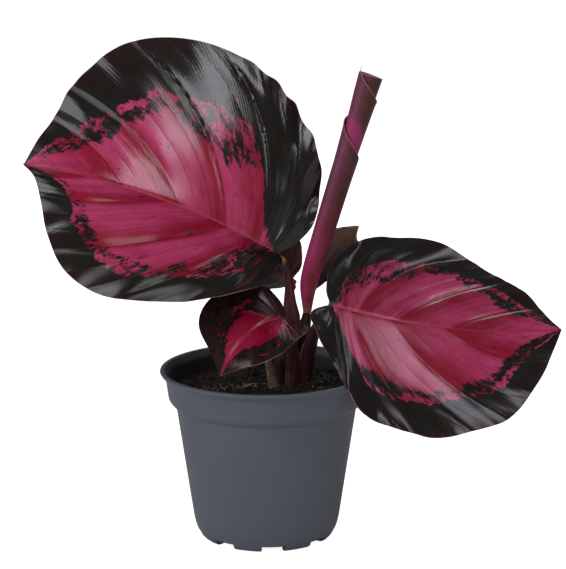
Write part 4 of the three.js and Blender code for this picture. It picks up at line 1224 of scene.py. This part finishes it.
class StageSettings(bpy.types.PropertyGroup):
    floor: colour_property("Floor", "Colour of the studio floor", (0.9, 0.9, 0.9))
    light: bpy.props.FloatProperty(name="Light", description="Strength of all the lights together",
                                   default=1, min=0, max=10, subtype="FACTOR")


# ------------------------------------------------------------------ operators

class MakePot(bpy.types.Operator):
    """Makes the moulded pot"""
    bl_idname = "calathea.make_pot"
    bl_label = "Make pot"

    def execute(self, context):
        settings = context.scene.calathea_pot
        plastic = pot_material(settings)
        shell = new_object(pot_mesh(), "pot_shell", [plastic, inside_shade_material(settings)], ["pot"])
        drill(shell, [polar(DRAIN_CIRCLE, 2 * math.pi * k / DRAINS) for k in range(DRAINS)])
        # Faces inside the pot below INSIDE_TOP get the second material, which paints shade there.
        for face in shell.data.polygons:
            x, y, z = face.center
            if z > POT_INSIDE[-1][1] * MM and face.normal.dot(Vector((x, y, 0))) < 0:
                face.material_index = int(z < INSIDE_TOP * MM)
        new_object(foot_mesh(), "pot_foot", [plastic])
        return {"FINISHED"}


class MakeSoil(bpy.types.Operator):
    """Makes the soil with its crumbs and fibres, and colours the roots in it"""
    bl_idname = "calathea.make_soil"
    bl_label = "Make soil"

    def execute(self, context):
        settings = context.scene.calathea_soil
        peat = soil_material(settings)
        new_object(soil_mesh(), "soil_body", [peat], ["potting_soil"])
        new_object(crumb_mesh(settings.crumbs), "soil_crumbs", [peat])
        new_object(fibre_mesh(settings.fibres), "soil_fibres", [fibre_material()])
        skin = root_material()
        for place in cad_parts["rhizome_and_roots"].material_slots:
            place.material = skin
        return {"FINISHED"}


class MakeLeaves(bpy.types.Operator):
    """Makes the open leaves, with their pleats, veins and colours"""
    bl_idname = "calathea.make_leaves"
    bl_label = "Make leaves"

    def execute(self, context):
        settings = context.scene.calathea_leaf
        under = underside_material("leaf_underside", (0.05, 0.008, 0.014), (0.12, 0.016, 0.032))
        dull = underside_material("older_leaf_underside", (0.03, 0.01, 0.01), (0.065, 0.016, 0.016))
        pale = margin_material("leaf_margin")
        older = {
            "back_left_leaf": older_leaf_material(
                "older_leaf_face", settings.border, (0.035, 0.012, 0.013), (0.04, 0.018, 0.015),
                (0.1, 0.05, 0.035)),
            "back_right_leaf": older_leaf_material(
                "drying_leaf_face", (0.026, 0.01, 0.011), (0.052, 0.018, 0.018), (0.14, 0.075, 0.046),
                (0.32, 0.21, 0.13)),
        }
        for name, shape in LEAVES.items():
            if name in PATTERNED:
                face = patterned_leaf_material(name + "_face", shape, settings)
                add_blade(name, [face, under, pale], settings.thickness)
            else:
                add_blade(name, [older[name], dull, pale], settings.thickness)
        return {"FINISHED"}


class MakeStalks(bpy.types.Operator):
    """Makes the stalks with their sheaths and joints, and the dried stub"""
    bl_idname = "calathea.make_stalks"
    bl_label = "Make stalks"

    def execute(self, context):
        skin = stalk_material(context.scene.calathea_leaf)
        for name, shape in STALKS.items():
            dry = name == "dried_stub"
            material = dried_material("dried_stalk_fibres") if dry else skin
            new_object(stalk_mesh(shape), name + "_skin", [material], [name])
        return {"FINISHED"}


class MakeRolledLeaf(bpy.types.Operator):
    """Makes the new leaf that is still rolled up"""
    bl_idname = "calathea.make_rolled_leaf"
    bl_label = "Make rolled leaf"

    def execute(self, context):
        materials = [rolled_leaf_material(), rolled_face_material(), margin_material("rolled_leaf_rim")]
        sheet = new_object(spear_mesh(), "rolled_leaf_sheet", materials, ["rolled_leaf"])
        thicken(sheet, SPEAR_SHEET)
        new_object(tip_mesh(), "rolled_leaf_thread", [dried_material("dry_tip")])
        return {"FINISHED"}


class MakeStage(bpy.types.Operator):
    """Makes the pale floor, the soft lights and the camera"""
    bl_idname = "calathea.make_stage"
    bl_label = "Make stage"

    def execute(self, context):
        settings = context.scene.calathea_stage
        make_floor(settings)
        make_world(context.scene, settings)
        for name, place, size, power, colour in LIGHTS:
            make_light(name, place, size, power * settings.light, colour)
        make_camera(context.scene)
        context.scene.view_settings.view_transform = "Standard"
        return {"FINISHED"}


class PlantPanel(bpy.types.Panel):
    """Lists the plant's settings and the operators that make its pieces"""
    bl_idname = "VIEW3D_PT_calathea"
    bl_label = "Potted calathea"
    bl_space_type = "VIEW_3D"
    bl_region_type = "UI"
    bl_category = "Calathea"

    def draw(self, context):
        for key in SETTINGS:
            group = getattr(context.scene, key)
            for name in group.__annotations__:
                self.layout.prop(group, name)
        for operator in OPERATORS:
            self.layout.operator(operator.bl_idname)


# ------------------------------------------------------------------ stage

# Each light: name, place, width and height, power and colour. Metres and watts. They all face one point.
LIGHTS = (
    ("front_softbox", (-0.33, -1.645, 0.84), (0.68, 0.36), 4.5, (0.96, 0.96, 1.04)),
    ("right_softbox", (0.82, -0.12, 1.31), (0.8, 0.16), 1.55, (0.98, 0.95, 1.06)),
    ("left_softbox", (-0.98, -0.22, 1.415), (0.26, 0.5), 1.7, (1, 1, 1.02)),
    ("high_softbox", (0.16, -1.15, 1.08), (0.4, 0.3), 1.3, (1, 1, 0.97)),
    ("top_softbox", (-0.1, -0.8, 1.55), (0.7, 0.6), 2.6, (1, 1, 1)),
    ("low_softbox", (-1.24, -0.58, 0.44), (0.8, 0.6), 5.0, (0.96, 0.98, 1.04)),
    ("strip_softbox", (0.66, -1.42, 0.57), (0.24, 0.5), 1.6, (1, 0.98, 0.96)),
    ("back_softbox", (0.1, 1.3, 1), (1, 0.8), 5.5, (1, 1, 1)),
)
LIT_POINT = (0, 0, 0.2)
WORLD_LIGHT = 0.12
FLOOR_SIZE = 9                    # half the width of the floor, in metres
FLOOR_GLOW = 0.9
EYE = (9.35, -1269.2, 426.4)      # the camera's place and what it looks at, in millimetres
LOOK_AT = (9.35, 0, 145)
FOCAL = 147.16
SENSOR = 36
CLIP = (0.05, 60)                 # the nearest and farthest that the camera sees, in metres


def aimed(obj, place, target):
    """Places an object and turns its front, its own -Z, to the target."""
    place, target = Vector(place), Vector(target)
    obj.location = place
    obj.rotation_euler = (target - place).to_track_quat("-Z", "Y").to_euler()


def make_light(name, place, size, power, colour):
    data = bpy.data.lights.new(name, "AREA")
    data.shape = "RECTANGLE"
    data.size, data.size_y = size
    data.energy = power
    data.color = colour
    aimed(linked(name, data), place, LIT_POINT)


def make_world(scene, settings):
    scene.world = bpy.data.worlds.new("studio")
    sh = Shader(scene.world)
    glow = sh.node("Background", {0: (1, 1, 1, 1), 1: WORLD_LIGHT * settings.light})
    sh.node("OutputWorld", {0: glow})


def make_floor(settings):
    """The floor, which the camera sees brighter than it is for the light that falls on the plant."""
    bm = bmesh.new()
    bmesh.ops.create_grid(bm, x_segments=8, y_segments=8, size=FLOOR_SIZE)
    floor = linked("floor", mesh_from(bm, "floor"))
    sh = new_shader("studio_floor")
    haze = sh.noise(sh.object_place(), 1.5, 1)
    colour = sh.multiply(settings.floor, sh.slope(haze, 0.3, 0.7, 0.99, 1))
    matt = {"Base Color": colour, "Roughness": 0.9, "Specular IOR Level": 0.1}
    plain = sh.node("BsdfPrincipled", matt)
    glow = {"Emission Color": (1, 1, 1, 1), "Emission Strength": FLOOR_GLOW}
    bright = sh.node("BsdfPrincipled", {**matt, **glow})
    seen = sh.node("LightPath", output="Is Camera Ray")
    shown = sh.node("MixShader", {0: seen, 1: plain, 2: bright})
    sh.node("OutputMaterial", {0: shown})
    floor.data.materials.append(sh.owner)


def make_camera(scene):
    data = bpy.data.cameras.new("camera")
    data.lens = FOCAL
    data.sensor_width = SENSOR
    data.clip_start, data.clip_end = CLIP
    camera = linked("camera", data)
    aimed(camera, Vector(EYE) * MM, Vector(LOOK_AT) * MM)
    scene.camera = camera


# ------------------------------------------------------------------ registration

SETTINGS = {
    "calathea_pot": PotSettings,
    "calathea_soil": SoilSettings,
    "calathea_leaf": LeafSettings,
    "calathea_stage": StageSettings,
}
OPERATORS = (MakePot, MakeSoil, MakeLeaves, MakeStalks, MakeRolledLeaf, MakeStage)


def register():
    for cls in (*SETTINGS.values(), *OPERATORS, PlantPanel):
        bpy.utils.register_class(cls)
    for key, group in SETTINGS.items():
        setattr(bpy.types.Scene, key, bpy.props.PointerProperty(type=group))


def unregister():
    for key in SETTINGS:
        delattr(bpy.types.Scene, key)
    for cls in reversed((*SETTINGS.values(), *OPERATORS, PlantPanel)):
        bpy.utils.unregister_class(cls)


def main():
    register()
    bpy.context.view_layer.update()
    bpy.ops.calathea.make_stage()
    bpy.ops.calathea.make_pot()
    bpy.ops.calathea.make_soil()
    bpy.ops.calathea.make_stalks()
    bpy.ops.calathea.make_rolled_leaf()
    bpy.ops.calathea.make_leaves()
    bpy.context.view_layer.update()


if __name__ == "__main__":
    main()
